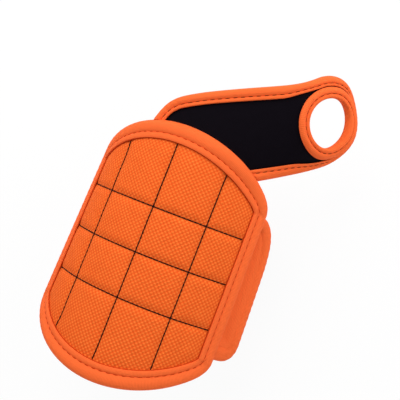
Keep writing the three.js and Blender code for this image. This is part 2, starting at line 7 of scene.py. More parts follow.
import bpy
import numpy as np
from bpy.props import FloatProperty, FloatVectorProperty, IntProperty, PointerProperty
from mathutils import Matrix, Vector
from mathutils.geometry import delaunay_2d_cdt

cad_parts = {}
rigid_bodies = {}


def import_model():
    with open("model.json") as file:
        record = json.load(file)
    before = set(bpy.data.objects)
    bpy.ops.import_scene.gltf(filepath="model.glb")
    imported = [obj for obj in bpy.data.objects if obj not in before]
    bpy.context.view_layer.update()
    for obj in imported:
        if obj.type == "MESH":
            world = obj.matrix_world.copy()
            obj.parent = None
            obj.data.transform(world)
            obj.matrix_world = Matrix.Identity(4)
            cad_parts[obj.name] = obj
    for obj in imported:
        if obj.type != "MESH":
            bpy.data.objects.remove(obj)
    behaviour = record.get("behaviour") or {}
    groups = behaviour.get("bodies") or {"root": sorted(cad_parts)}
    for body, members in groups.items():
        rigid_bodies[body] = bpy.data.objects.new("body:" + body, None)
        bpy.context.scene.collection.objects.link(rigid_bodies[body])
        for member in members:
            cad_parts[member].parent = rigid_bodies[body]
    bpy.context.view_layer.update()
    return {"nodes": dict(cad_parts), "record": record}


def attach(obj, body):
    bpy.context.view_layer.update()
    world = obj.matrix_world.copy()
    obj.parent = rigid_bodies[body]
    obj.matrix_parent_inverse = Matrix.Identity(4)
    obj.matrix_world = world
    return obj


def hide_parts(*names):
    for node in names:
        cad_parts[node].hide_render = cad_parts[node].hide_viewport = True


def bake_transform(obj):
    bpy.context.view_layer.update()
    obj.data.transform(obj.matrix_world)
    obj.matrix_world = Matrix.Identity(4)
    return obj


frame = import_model()

bl_info = {
    "name": "Magnetic Wristband",
    "version": (1, 0, 0),
    "blender": (4, 5, 0),
    "location": "View3D > Sidebar > Wristband",
    "description": "Dresses the frame of a magnetic wristband in cloth, tape and thread",
    "category": "Object",
}

MM = 0.001
UV_NAME = "Cloth"

# Fineness of the meshes: steps along a cut edge, and the grid of points inside it
TAPE_STEP = 0.55 * MM
BAND_TAPE_STEP = 0.6 * MM
HOLE_TAPE_STEP = 0.5 * MM
TAB_STEP = 0.8 * MM
CUT_STEP = 1 * MM
BAND_STEP = 1.2 * MM
TAB_GRID = 0.8 * MM
FACE_GRID = 0.85 * MM
HOOK_TAPE_GRID = 1 * MM
STRAP_GRID = 1.3 * MM
PATCH_GRID = 1.5 * MM
BAND_GRID = 1.6 * MM
PLAIN_GRID = 2.2 * MM
EDGE_CLEARANCE = 0.6  # share of the grid that its points keep from an edge
WELD = 1e-7
TINY = 1e-9
NUDGE = 0.2 * MM  # small step that finds a direction on the form
SLAB_SHARP, TAPE_SHARP = 0.7, 0.9  # angles past which an edge stays sharp


# Sizes and colours


def length(name, description, mm):
    return FloatProperty(name=name, description=description, default=mm * MM, unit="LENGTH")


def pair(name, description, first, second):
    default = first * MM, second * MM
    return FloatVectorProperty(
        name=name, description=description, default=default, unit="LENGTH", size=2
    )


def factor(name, description, value):
    return FloatProperty(name=name, description=description, default=value, subtype="FACTOR")


def colour(name, description, rgb):
    default = [value / 255 for value in rgb]
    limits = {"size": 3, "min": 0, "max": 1}
    return FloatVectorProperty(
        name=name, description=description, default=default, subtype="COLOR_GAMMA", **limits
    )


class FormSizes(bpy.types.PropertyGroup):
    half_width: length("Half width", "Half width of the cuff at its middle", 48.5)
    half_height: length("Half height", "Form's axis to the top of the panel", 41.2)
    taper: factor("Taper", "Half width lost towards the strap, by length", 0.052)
    axis_height: length("Axis height", "Form's axis above the rest face", 34)
    rest_half_width: length("Rest half width", "Half of the flat underside", 16)
    flare_start: length("Flare start", "Where the form starts to widen", 44)
    flare_peak: length("Flare peak", "Where it is widest, at the thumb hole", 88)
    flare_end: length("Flare end", "Where it has fallen back", 124)
    strap_half_height: length("Strap half height", "Form's axis to the top of the strap", 37)
    flare: length("Flare", "How far the form widens at the thumb hole", 25)
    fall_back: length("Fall back", "How far it falls back past the thumb hole", 13)


class PanelSizes(bpy.types.PropertyGroup):
    cells: IntProperty(name="Cells", description="Stitched cells each way", default=4, min=1)
    cell_width: length("Cell width", "Between the long seams", 27.1)
    cell_length: length("Cell length", "Between the cross seams", 22.4)
    side_margin: length("Side margin", "Cloth past the outer cells", 1.3)
    corner_drop: length("Corner drop", "Straight sides end short of the cells", 3.9)
    strap_arch: length("Strap arch", "Rise of the rounded end at the strap", 21.5)
    open_arch: length("Open arch", "Rise of the rounded end away from the strap", 20.6)
    corner: length("Corner", "Size of the rounded corners", 9)
    tape: length("Tape width", "Width of the bound edge", 8.5)
    tape_sides: pair("Tape sides", "Top and underside of the bound edge", 1.25, -6.65)
    foam_sides: pair("Foam sides", "Top and underside of the foam", -1.5, -4.4)
    lining_sides: pair("Lining sides", "Top and underside of the mesh lining", -4.7, -5.4)
    face_low: length("Face underside", "Underside of the face cloth", -1.4)
    seam_depth: length("Seam depth", "How far the quilting pulls the face down", 1.0)
    seam_reach: length("Seam reach", "Half width of the quilted valleys", 1.9)
    puff: length("Puff", "How far the middle of a cell stands up", 0.55)
    slack: length("Slack", "Unevenness of the face cloth", 0.1)
    magnet_window: pair("Magnet window", "Window in the foam, across and along", 11.6, 14.6)
    magnet_play: length("Magnet play", "Window longer than its magnet", 0.6)
    magnet_space: length("Magnet space", "From a cross seam to the magnets beside it", 3)


class ClosingSizes(bpy.types.PropertyGroup):
    seam_gap: length("Seam gap", "Between the panel's roll and the pieces hinged on it", 0.5)
    sewn_in: length("Sewn in", "How far a hinged piece runs into the panel's roll", 0.3)
    tab_reach: length("Tab reach", "Length of the closing tab", 14.4)
    tab_setback: length("Tab setback", "Tab's ends inside the panel's straight side", 5.9)
    tab_corner: length("Tab corner", "Rounded corner of the tab away from the strap", 9)
    tab_turn: length("Tab turn", "Long corner of the tab at the strap, across the cuff", 14.1)
    tab_taper: length("Tab taper", "Long corner of the tab at the strap, along the cuff", 26)
    tab_tape: length("Tab tape", "Width of the tab's bound edge", 7)
    tab_lift: length("Tab lift", "How far the tab's end stands out", 3)
    tab_sides: pair("Tab sides", "Outside and inside of the tab's cloth", -2.45, -3.65)
    tab_tape_sides: pair("Tab tape sides", "Top and underside of the tab's bound edge", -1.2, -4.9)
    tab_swelling: length("Tab swelling", "Tab's cloth over the lip of its bound edge", 0.1)
    hook_sides: pair("Hook tape sides", "Outside and inside of the hook tape", -3.95, -4.45)
    hook_pitch: length("Hook pitch", "Between the hooks of the hook tape", 1.25)
    hook_height: length("Hook height", "Height of a moulded hook", 0.62)
    band_half: length("Band half length", "Half of the band along the cuff", 29)
    band_overlap: length("Band overlap", "Free end tucked under the panel", 11)
    band_corner: length("Band corner", "Rounded corners of the band", 9)
    band_tape: length("Band tape", "Width of the band's bound edge", 7)
    band_sides: pair("Band sides", "Outside and inside of the band's cloth", -1.1, -2.1)
    band_lining_sides: pair("Band lining sides", "Outside and inside of its lining", -2.4, -3.1)
    band_tape_sides: pair("Band tape sides", "Top and underside of its bound edge", -0.05, -4.35)
    patch_start: length("Patch start", "Loop patch from the hinge edge", 26)
    patch_sides: pair("Patch sides", "Outside and inside of the loop patch", 0, -0.8)
    patch_gap: length("Patch gap", "Between a bound edge and the patch inside it", 0.3)
    tuck_tab: length("Tuck under the tab", "How far the band dives under the tab", 2.35)
    tuck_panel: length("Tuck under the panel", "How far the band dives under the panel", 7.1)


class StrapSizes(bpy.types.PropertyGroup):
    left_setback: length("Left setback", "Seam's end inside the panel's band side", 38)
    right_setback: length("Right setback", "Seam's end inside the panel's tab side", 12.5)
    underlap: length("Underlap", "Cloth past the seam", 5)
    tape: length("Tape width", "Width of the bound edge", 5.2)
    cloth_sides: pair("Cloth sides", "Outside and inside of the strap's cloth", -1.6, -2.7)
    lining_sides: pair("Lining sides", "Outside and inside of the strap's lining", -3.0, -3.7)
    tape_sides: pair("Tape sides", "Top and underside of the bound edges", -0.35, -5.15)
    hole_centre: pair("Hole centre", "Thumb hole's centre, round and along the cuff", 66.4, 88)
    hole_size: pair("Hole size", "Thumb hole, round and along the cuff", 27, 25.6)
    hole_tape: length("Hole tape", "Width of the thumb hole's bound edge", 4.6)
    hole_crown: length("Hole crown", "Height of that edge's roll past its groove", 0.15)
    loop: length("Loop", "Cloth round the thumb hole", 8.8)
    tape_gap: length("Tape gap", "Between the two tapes of the loop", 0.45)


class SewingSizes(bpy.types.PropertyGroup):
    roll: length("Roll", "How far a bound edge bulges past the cut", 1)
    tape_cloth: length("Tape cloth", "Thickness of the binding tape", 0.8)
    crown: length("Crown", "Height of the roll over the tape's lip", 0.75)
    dome: length("Dome", "Height of a tape that is one smooth roll", 1.3)
    groove: length("Groove", "Depth of the stitched groove", 0.58)
    groove_share: factor("Groove place", "Stitched groove as a share of the tape's width", 0.66)
    crest_share: factor("Crest place", "Crest of the roll as a share of the tape's width", 0.3)
    tape_pitch: length("Tape stitch pitch", "Between the stitches of a tape", 3.6)
    tape_stitch: pair("Tape stitch", "Length and thickness of a stitch in a tape", 2.3, 0.6)
    # The panel's lip stitches draw a painted shadow line along the inner edge of the tape.
    lip_shadow_stitch: pair("Lip stitch", "Length and thickness of a stitch of the panel's lip", 3.6, 0.6)
    quilt_pitch: length("Quilt stitch pitch", "Between the quilting stitches", 2.6)
    quilt_stitch: pair("Quilt stitch", "Length and thickness of a quilting stitch", 3.6, 0.62)
    quilt_proud: length("Quilt proud", "Quilting stitches over the cloth", 0.18)
    # Height of that painted shadow line's stitches.
    lip_shadow_proud: length("Lip proud", "Stitches of the panel's lip over the form", 0.3)


class Colours(bpy.types.PropertyGroup):
    cloth: colour("Orange cloth", "Stout yarns in the panel's woven face", (248, 128, 54))
    # Painted shade between the yarns of the woven face; the random mottle also darkens the cloth
    # towards this colour.
    cloth_gap_shade_and_mottle: colour("Cloth gap", "Between those yarns", (212, 54, 4))
    tape: colour("Orange tape", "Binding tape", (255, 107, 50))
    # The tape's thread is darker than the tape for painted shade in the sunk stitch holes.
    tape_thread_and_hole_shade: colour("Tape thread", "Stitches in the tape", (196, 60, 14))
    strap_thread: colour("Strap thread", "Stitches in the strap's tapes", (92, 26, 10))
    # Painted shadow: a line of dark stitches along the inner edge of the panel's tape, where the
    # tape meets the quilted face.
    lip_shadow_line: colour("Lip thread", "Stitches along the tape's inner edge", (190, 56, 8))
    quilt_thread: colour("Quilt thread", "Stitches between the cells", (26, 8, 6))
    strap: colour("Strap cloth", "Flat black cloth of the strap", (10, 7, 12))
    mesh: colour("Mesh lining", "Black mesh on the inside", (26, 26, 29))
    loop: colour("Loop patch", "Brushed loop patch", (24, 24, 27))
    hook: colour("Hook tape", "Moulded hook tape", (22, 22, 25))
    foam: colour("Foam", "Foam in the panel", (108, 108, 112))
    steel: colour("Plated steel", "Magnets in the cells", (150, 152, 158))
    floor: colour("Floor", "Plain pale floor", (238, 238, 238))


class WristbandSettings(bpy.types.PropertyGroup):
    form: PointerProperty(type=FormSizes)
    panel: PointerProperty(type=PanelSizes)
    closing: PointerProperty(type=ClosingSizes)
    strap: PointerProperty(type=StrapSizes)
    sewing: PointerProperty(type=SewingSizes)
    colours: PointerProperty(type=Colours)


# The form that the flat cloth is wrapped on


ARC_PLACES, ARC_WEIGHTS = np.polynomial.legendre.leggauss(12)
ARC_ROUNDS = 5


def smooth(x, low, high):
    t = np.clip((x - low) / (high - low), 0, 1)
    return t * t * (3 - 2 * t)


def swell(y, low, high):
    return (1 - np.cos(np.pi * np.clip((y - low) / (high - low), 0, 1))) / 2


def mix(a, b, share):
    return a + (b - a) * share


def arc_speed(angle, across, up):
    return np.hypot(across * np.cos(angle), up * np.sin(angle))


def arc_length(angle, across, up):
    spots = angle[..., None] / 2 * (1 + ARC_PLACES)
    speeds = arc_speed(spots, across[..., None], up[..., None])
    return (speeds * ARC_WEIGHTS).sum(-1) * angle / 2


def arc_angle(way, across, up):
    quarter = np.full_like(way, np.pi / 2)
    angle = way / arc_length(quarter, across, up) * np.pi / 2
    for _ in range(ARC_ROUNDS):
        angle = angle - (arc_length(angle, across, up) - way) / arc_speed(angle, across, up)
    return angle


class CuffForm:
    """Tapered oval that stands on a flat and widens towards the thumb hole."""

    def __init__(self, sizes):
        self.sizes = sizes

    def section(self, y):
        f = self.sizes
        left = f.half_width - f.taper * y
        flare = swell(y, f.flare_start, f.flare_peak)
        right = left + f.flare * flare - f.fall_back * swell(y, f.flare_peak, f.flare_end)
        return left, right, mix(left * f.half_height / f.half_width, f.strap_half_height, flare)

    def quarters(self, wide, top):
        """Way round the upper and the lower quarter of the oval."""
        rest, axis = self.sizes.rest_half_width, self.sizes.axis_height
        turn = np.full_like(wide, np.pi / 2)
        return arc_length(turn, wide, top), arc_length(turn, wide - rest, np.full_like(wide, axis))

    def half_girth(self, y):
        left, _, top = self.section(np.asarray(y, float))
        return sum(self.quarters(left, top)) + self.sizes.rest_half_width

    def place(self, s, y, h):
        """Points at arc s from the top, y along the cuff and h out from the form."""
        s, y, h = (np.array(v, float) for v in np.broadcast_arrays(s, y, h))
        rest, axis = self.sizes.rest_half_width, self.sizes.axis_height
        left, right, top = self.section(y)
        wide = np.where(s < 0, left, right)
        inner = wide - rest
        upper, lower = self.quarters(wide, top)
        way = np.abs(s)
        high = arc_angle(np.minimum(way, upper), wide, top)
        side = arc_angle(np.clip(upper + lower - way, 0, lower), inner, np.full_like(wide, axis))
        parts = [way <= upper, way <= upper + lower]
        on_flat = rest - (way - upper - lower)
        x = np.select(parts, [wide * np.sin(high), rest + inner * np.sin(side)], on_flat)
        z = np.select(parts, [top * np.cos(high), -axis * np.cos(side)], -axis)
        out_x = np.select(parts, [top * np.sin(high), axis * np.sin(side)], 0.0)
        out_z = np.select(parts, [wide * np.cos(high), -inner * np.cos(side)], -1.0)
        size = np.hypot(out_x, out_z)
        x, z = x + h * out_x / size, z + h * out_z / size
        return np.stack([np.where(s < 0, -x, x), y, axis + z], -1)


# Flat cuts


def curve(start, control, end, count=160):
    t = np.linspace(0, 1, count, endpoint=False)[:, None]
    start, control, end = (np.array(p, float) for p in (start, control, end))
    return (1 - t) ** 2 * start + 2 * t * (1 - t) * control + t * t * end


def straight(start, end, count=160):
    return curve(start, (np.array(start) + np.array(end)) / 2, end, count)


def oval_arc(centre, across, along, start, end, count=160):
    turn = np.linspace(start, end, count, endpoint=False)
    return np.stack([centre[0] + across * np.cos(turn), centre[1] + along * np.sin(turn)], -1)


def smooth_line(knots, count=120):
    """Smooth line through the knots."""
    rows = []
    t = np.linspace(0, 1, count, endpoint=False)[:, None]
    for i in range(len(knots) - 1):
        p0, p1 = knots[max(i - 1, 0)], knots[i]
        p2, p3 = knots[i + 1], knots[min(i + 2, len(knots) - 1)]
        v0, v1 = (p2 - p0) / 2, (p3 - p1) / 2
        cubic, square = 2 * p1 - 2 * p2 + v0 + v1, -3 * p1 + 3 * p2 - 2 * v0 - v1
        rows.append(cubic * t**3 + square * t**2 + v0 * t + p1)
    return np.vstack([*rows, knots[-1:]])


def rectangle(low, high):
    return np.array([low, (high[0], low[1]), high, (low[0], high[1])])


def travelled(points):
    steps = np.linalg.norm(np.diff(points, axis=0), axis=1)
    return np.concatenate([[0], np.cumsum(steps)])


def along(points, where):
    way = travelled(points)
    return np.stack([np.interp(where, way, axis) for axis in points.T], -1)


def whole_line(points, closed):
    return np.vstack([points, points[:1]]) if closed else points


def even_steps(points, step, closed=False):
    """The same line again with even steps."""
    line = whole_line(points, closed)
    total = travelled(line)[-1]
    count = max(int(round(total / step)), 2)
    return along(line, np.linspace(0, total, count + 1)[: count if closed else None])


class EdgeLine:
    """A cut edge with the direction in which its cloth lies, on the left of the way round."""

    def __init__(self, outline, step, closed=False):
        self.points, self.closed = even_steps(outline, step, closed), closed
        if closed:
            way = np.roll(self.points, -1, axis=0) - np.roll(self.points, 1, axis=0)
        else:
            way = np.gradient(self.points, axis=0)
        way /= np.linalg.norm(way, axis=1)[:, None]
        self.inward = np.stack([-way[:, 1], way[:, 0]], -1)
        self.travel = travelled(whole_line(self.points, closed))

    def inset(self, d):
        return self.points + self.inward * np.reshape(d, (-1, 1))

    def spots(self, inwards):
        """Flat spots at a row of distances inwards from each point of the edge."""
        return self.points[:, None] + self.inward[:, None] * inwards[..., None]


def inside(points, *rings):
    """Which of the points lie inside the first ring and outside the holes in it."""
    result = np.zeros(len(points), bool)
    x, y = points.T
    for ring in rings:
        for (ax, ay), (bx, by) in zip(ring, np.roll(ring, -1, axis=0)):
            if ay != by:
                result ^= ((ay > y) != (by > y)) & (x < (bx - ax) * (y - ay) / (by - ay) + ax)
    return result


def edge_distance(points, ring, batch=1000):
    far = np.empty(len(points))
    for first in range(0, len(points), batch):
        part = points[first : first + batch]
        far[first : first + batch] = np.sqrt(((part[:, None] - ring) ** 2).sum(-1).min(1))
    return far


def doubled_areas(flat, triangles):
    a, b, c = (flat[triangles[:, k]] for k in range(3))
    return np.cross(b - a, c - a)


def cut_cloth(outline, spacing, holes=()):
    """Flat points and triangles of cloth inside an outline, less its holes."""
    rings = [outline, *holes]
    low, high = outline.min(0), outline.max(0)
    counts = np.maximum(((high - low) / spacing).astype(int), 2)
    axes = [np.linspace(first, last, count + 1) for first, last, count in zip(low, high, counts)]
    lattice = np.stack(np.meshgrid(*axes), -1).reshape(-1, 2)
    lattice = lattice[inside(lattice, *rings)]
    lattice = lattice[edge_distance(lattice, np.vstack(rings)) > EDGE_CLEARANCE * spacing]
    edges, first = [], 0
    for ring in rings:
        count = len(ring)
        edges += [(first + i, first + (i + 1) % count) for i in range(count)]
        first += count
    flat = np.vstack([*rings, lattice])
    made = delaunay_2d_cdt([Vector(p) for p in flat], edges, [], 1, WELD)
    flat = np.array([tuple(p) for p in made[0]])
    triangles = np.array([tuple(t) for t in made[2]])
    triangles = triangles[inside(flat[triangles].mean(1), *rings)]
    turned = doubled_areas(flat, triangles) < 0
    triangles[turned] = triangles[turned][:, ::-1]
    used, renamed = np.unique(triangles, return_inverse=True)
    return flat[used], renamed.reshape(-1, 3)


# Meshes


def new_piece(name, points, groups, material, sharp):
    """A mesh object from groups of (faces, flat places of their corners), turned outwards."""
    volume = 0.0
    for faces, _ in groups:
        for k in range(1, faces.shape[1] - 1):
            a, b, c = points[faces[:, 0]], points[faces[:, k]], points[faces[:, k + 1]]
            volume += float((a * np.cross(b, c)).sum())
    if volume < 0:
        groups = [(faces[:, ::-1], flat[:, ::-1]) for faces, flat in groups]
    mesh = bpy.data.meshes.new(name)
    mesh.from_pydata(points.tolist(), [], [face for faces, _ in groups for face in faces.tolist()])
    layer = mesh.uv_layers.new(name=UV_NAME)
    corners = np.concatenate([flat.reshape(-1, 2) for _, flat in groups])
    layer.data.foreach_set("uv", corners.astype(np.float32).ravel())
    mesh.shade_smooth()
    mesh.set_sharp_from_angle(angle=sharp)
    mesh.materials.append(material)
    mesh.validate()
    return linked(name, mesh)


def linked(name, data):
    made = bpy.data.objects.new(name, data)
    bpy.context.scene.collection.objects.link(made)
    return made


def slab(name, cut, over, under, place, material):
    """A closed layer of cloth between two heights over its flat cut."""
    flat, triangles = cut
    count = len(flat)
    points = np.vstack([place(*flat.T, height) for height in (over, under)])
    edges = np.vstack([triangles[:, [0, 1]], triangles[:, [1, 2]], triangles[:, [2, 0]]])
    keys, back = edges[:, 0] * count + edges[:, 1], edges[:, 1] * count + edges[:, 0]
    a, b = edges[~np.isin(keys, back)].T
    walls = np.stack([b, a, a + count, b + count], -1)
    both = np.vstack([flat, flat])
    layers = np.vstack([triangles, triangles[:, ::-1] + count])
    return new_piece(name, points, [(f, both[f]) for f in (layers, walls)], material, SLAB_SHARP)


class TapeStyle(NamedTuple):
    """How a folded tape bulges: its groove and crest as shares of its width, and heights."""

    groove_share: float
    crest_share: float
    groove: float
    crown: float
    lip_crown: float = 0.0
    ends_at_seam: bool = False


GROOVE_PUCKER = 0.3  # share of the groove's depth that the stitches pull in
CROWN_PUCKER = 0.12  # share of the roll's height that they pull down
STITCH_DEPTH = 0.75  # share of the groove's depth at which they lie
FULL_ROLL_WIDTH = 5.2 * MM  # narrower tapes bulge less
# Cut edge of the lip: how far back, and how deep in thicknesses of the tape
LIP_CUT = ((0, 0.9), (0, 0.35), (0.25 * MM, 0.08))
LIP_START, LIP_RISE = 0.97, 0.05 * MM  # share of the width, and height over the top
FLAT_LIP, ROLLED_LIP = (0.265, 3), (0.05, 8)  # share left past the groove, and points
GROOVE_WALL = (0.035, 0.7)  # share past the groove, and share of its depth
ROLL_FOOT = 0.01  # share of the width from the groove to the roll
ROLL_POINTS, EDGE_POINTS = 9, 8
LIP_POWER, ROLL_POWER, EDGE_POWER = 0.8, 0.75, 0.9  # under 1 for a fuller swelling
MID_UNDERSIDE = 0.7
SEAT = 0.25  # from the cut edge to the inside of the fold, in thicknesses of the tape
FOLD_BACK = 0.1 * MM  # of the lip's lower corner


def tape_section(width, sides, sewing, style, pucker):
    """Section of a folded tape: a lip, a stitched groove and a full roll round the cut edge.

    Gives (inwards, height) points for each place, as arrays of places by points.
    """
    width, pucker = np.broadcast_arrays(np.asarray(width, float), np.asarray(pucker, float))
    (top, low), cloth = sides, sewing.tape_cloth
    middle, groove, crest = (top + low) / 2, style.groove_share, style.crest_share
    depth = style.groove * (1 - GROOVE_PUCKER * (1 - pucker))
    crown = style.crown * (1 - CROWN_PUCKER * pucker) * np.minimum(width / FULL_ROLL_WIDTH, 1)
    points = [(width - back, top - share * cloth) for back, share in LIP_CUT]
    # The lip, flat or with a roll of its own
    lip_end, count = ROLLED_LIP if style.lip_crown else FLAT_LIP
    for turn in np.linspace(0, 1, count)[1:]:
        inwards = mix(LIP_START, mix(groove, 1, lip_end), turn)
        rise = style.lip_crown * np.sin(np.pi * turn) ** LIP_POWER
        points.append((inwards * width, top + LIP_RISE + rise))
    # The groove
    past, share = GROOVE_WALL
    points += [(mix(groove, 1, past) * width, top - share * depth), (groove * width, top - depth)]
    # From the groove to the crest of the roll
    for turn in np.linspace(0, 1, ROLL_POINTS)[1:]:
        rise = np.sin(turn * np.pi / 2) ** ROLL_POWER
        height = mix(top - STITCH_DEPTH * depth, top + crown, rise)
        points.append((mix(groove - ROLL_FOOT, crest, turn) * width, height))
    # Round the cut edge to the underside
    bends = np.linspace(0, np.pi / 2, EDGE_POINTS)[1:]
    for reach, turns in ((top + crown - middle, bends), (low - middle, np.pi / 2 - bends)):
        for bend in turns:
            across = crest * width - (crest * width + sewing.roll) * np.sin(bend) ** EDGE_POWER
            points.append((across, middle + reach * np.cos(bend) ** EDGE_POWER))
    # The underside and the inside of the fold
    seat = SEAT * cloth
    points += [(MID_UNDERSIDE * width, low), (width, low), (width, low + cloth)]
    points += [(seat, low + cloth), (seat, top - cloth), (width - FOLD_BACK, top - cloth)]
    return [np.stack([np.broadcast_to(v, width.shape) for v in row], -1) for row in zip(*points)]


def swept_tape(name, line, section, spots, place, material):
    """A closed tape carried along a cut edge, each point of its section at a flat spot."""
    inwards, heights = section
    rings, count = inwards.shape
    points = place(*spots.reshape(-1, 2).T, heights.ravel())
    steps = np.hypot(np.diff(inwards, axis=1), np.diff(heights, axis=1)).mean(0)
    around = np.concatenate([[0], np.cumsum(steps)])
    around = np.append(around, around[-1] + steps.mean())
    last = rings if line.closed else rings - 1
    i, j = (v.ravel() for v in np.meshgrid(np.arange(last), np.arange(count), indexing="ij"))
    ring, point = (i + 1) % rings, (j + 1) % count
    faces = np.stack([i * count + j, ring * count + j, ring * count + point, i * count + point], -1)
    here, there, low, high = line.travel[i], line.travel[i + 1], around[j], around[j + 1]
    corners = (here, low), (there, low), (there, high), (here, high)
    groups = [(faces, np.stack([np.stack(corner, -1) for corner in corners], 1))]
    if not line.closed:
        order = np.arange(count)
        ends = np.stack([order, (rings - 1) * count + order[::-1]])
        spread = np.stack([inwards[[0, -1]], heights[[0, -1]]], -1)
        spread[1] = spread[1, ::-1].copy()
        groups.append((ends, spread))
    return new_piece(name, points, groups, material, TAPE_SHARP)


# Finishes


class Shade:
    """A shader socket that takes part in Python expressions."""

    def __init__(self, tree, socket=None):
        self.tree, self.socket = tree, socket

    def node(self, kind, settings=None, sockets=None, output=0):
        """Adds a node: its settings first, then the values or links of its sockets."""
        made = self.tree.nodes.new(kind)
        for name, value in (settings or {}).items():
            setattr(made, name, value)
        for name, value in (sockets or {}).items():
            if isinstance(value, Shade):
                self.tree.links.new(value.socket, made.inputs[name])
            else:
                made.inputs[name].default_value = value
        return Shade(self.tree, made.outputs[output])

    def math(self, operation, *others):
        sockets = dict(enumerate((self, *others)))
        return self.node("ShaderNodeMath", {"operation": operation}, sockets)

    def flipped(self, operation, other):
        return self.node("ShaderNodeMath", {"operation": operation}, {0: other, 1: self})

    def __add__(self, other):
        return self.math("ADD", other)

    def __sub__(self, other):
        return self.math("SUBTRACT", other)

    def __mul__(self, other):
        return self.math("MULTIPLY", other)

    def __truediv__(self, other):
        return self.math("DIVIDE", other)

    def __rsub__(self, other):
        return self.flipped("SUBTRACT", other)

    def __rtruediv__(self, other):
        return self.flipped("DIVIDE", other)

    __radd__ = __add__
    __rmul__ = __mul__

    def in_cell(self):
        """Place within a cell, from -0.5 to 0.5."""
        return self.math("FRACT") - 0.5

    def odd_cell(self):
        return self.math("FLOORED_MODULO", 2.0)

    def ridges(self, pitch):
        return (self * (2 * math.pi / pitch)).math("COSINE") * 0.5 + 0.5

    def pick(self, low, high):
        """A colour between two others, by this value."""
        sockets = {0: self, 6: low, 7: high}
        return self.node("ShaderNodeMix", {"data_type": "RGBA"}, sockets, output=2)

    def tones(self, rgb, dark, light):
        """A colour between a darker and a lighter tone of one colour, by this value."""
        return self.pick(linear(rgb, dark), linear(rgb, light))

    def noise(self, where, scale, detail=3.0, rough=0.5):
        sockets = {"Vector": where, "Scale": scale, "Detail": detail, "Roughness": rough}
        return self.node("ShaderNodeTexNoise", {"noise_dimensions": "3D"}, sockets)

    def pores(self, where, scale, feature):
        sockets = {"Vector": where, "Scale": scale}
        return self.node("ShaderNodeTexVoronoi", {"feature": feature}, sockets)

    def flat_places(self):
        """The piece's own flat cloth coordinates, in metres."""
        uv = self.node("ShaderNodeUVMap", {"uv_map": UV_NAME})
        u = self.node("ShaderNodeSeparateXYZ", None, {0: uv})
        return uv, u, Shade(self.tree, u.socket.node.outputs[1])

    def object_places(self):
        return self.node("ShaderNodeTexCoord", output=3)


def linear(rgb, shade=1.0):
    """A shader's colour from a shown one, made darker or lighter by shade."""
    values = [v / 12.92 if v <= 0.04045 else ((v + 0.055) / 1.055) ** 2.4 for v in rgb]
    return (*[min(v * shade, 1) for v in values], 1)


def surface(base, roughness, height, depth):
    """What varies over a finish: its colour, its roughness and a bump of some depth."""
    bump = base.node("ShaderNodeBump", None, {"Height": height, "Distance": depth, "Strength": 1.0})
    return {"Base Color": base, "Roughness": roughness, "Normal": bump}


def plain_weave(u, v, pitch):
    """Height of a plain weave, from 0 between the yarns to 1 on top of the stouter ones."""
    x, y = u / pitch, v / pitch
    across, up = x.in_cell(), y.in_cell()
    over = 1 - (x.math("FLOOR") + y.math("FLOOR")).odd_cell() * 2
    swing_up, swing_across = (up * math.pi).math("COSINE"), (across * math.pi).math("COSINE")
    warp = (1 - across * across * 4) * (over * swing_up * 0.5 + 0.5)
    weft = (1 - up * up * 4) * (0.5 - over * swing_across * 0.5)
    checked = 0.5 - over * swing_up * swing_across * 0.5
    return checked * 0.7 + weft.math("MAXIMUM", warp * 0.5) * 0.3


def woven_orange(nodes, colours):
    uv, u, v = nodes.flat_places()
    weave = plain_weave(u, v, pitch=1.08 * MM)
    mottle = nodes.noise(uv, scale=160)
    fuzz = nodes.noise(uv, scale=2600, detail=2)
    # Painted shade: where the weave is low between the yarns the colour falls to the darker gap
    # tone, and the random mottle also pulls it there.
    lit = weave.math("POWER", 0.8) * 0.9 + fuzz * 0.15
    gap_shade_and_mottle = linear(colours.cloth_gap_shade_and_mottle)
    base = (mottle * 0.3).pick(lit.pick(gap_shade_and_mottle, linear(colours.cloth)), gap_shade_and_mottle)
    return surface(base, roughness=0.92 - lit * 0.16, height=weave + fuzz * 0.25, depth=0.3 * MM)


def binding_orange(nodes, colours):
    uv, u, v = nodes.flat_places()
    rib, yarn = u.ridges(pitch=0.65 * MM), v.ridges(pitch=0.42 * MM)
    mottle = nodes.noise(nodes.object_places(), scale=220)
    fuzz = nodes.noise(uv, scale=3000, detail=2)
    # Painted light and shade: lighter on the crests of the ribs and yarns, darker between them,
    # with random fuzz.
    lit = rib * 0.5 + yarn * 0.2 + fuzz * 0.3
    base = (mottle * 0.16).pick(lit.tones(colours.tape, 0.74, 1.12), linear(colours.tape, 0.8))
    height = rib * 0.7 + yarn * 0.2 + fuzz * 0.3
    return surface(base, roughness=0.8 - lit * 0.14, height=height, depth=0.12 * MM)


def flat_black(nodes, colours):
    uv, u, v = nodes.flat_places()
    weave = plain_weave(u, v, pitch=0.45 * MM)
    mottle = nodes.noise(uv, scale=240)
    fuzz = nodes.noise(uv, scale=2200, detail=2)
    # Painted shade: the colour darkens between the yarns, along with random mottle and fuzz.
    lit = weave * 0.5 + mottle * 0.25 + fuzz * 0.25
    base = lit.tones(colours.strap, 0.5, 1.7)
    height = weave * 0.6 + fuzz * 0.4
    return surface(base, roughness=0.97 - lit * 0.14, height=height, depth=0.09 * MM)


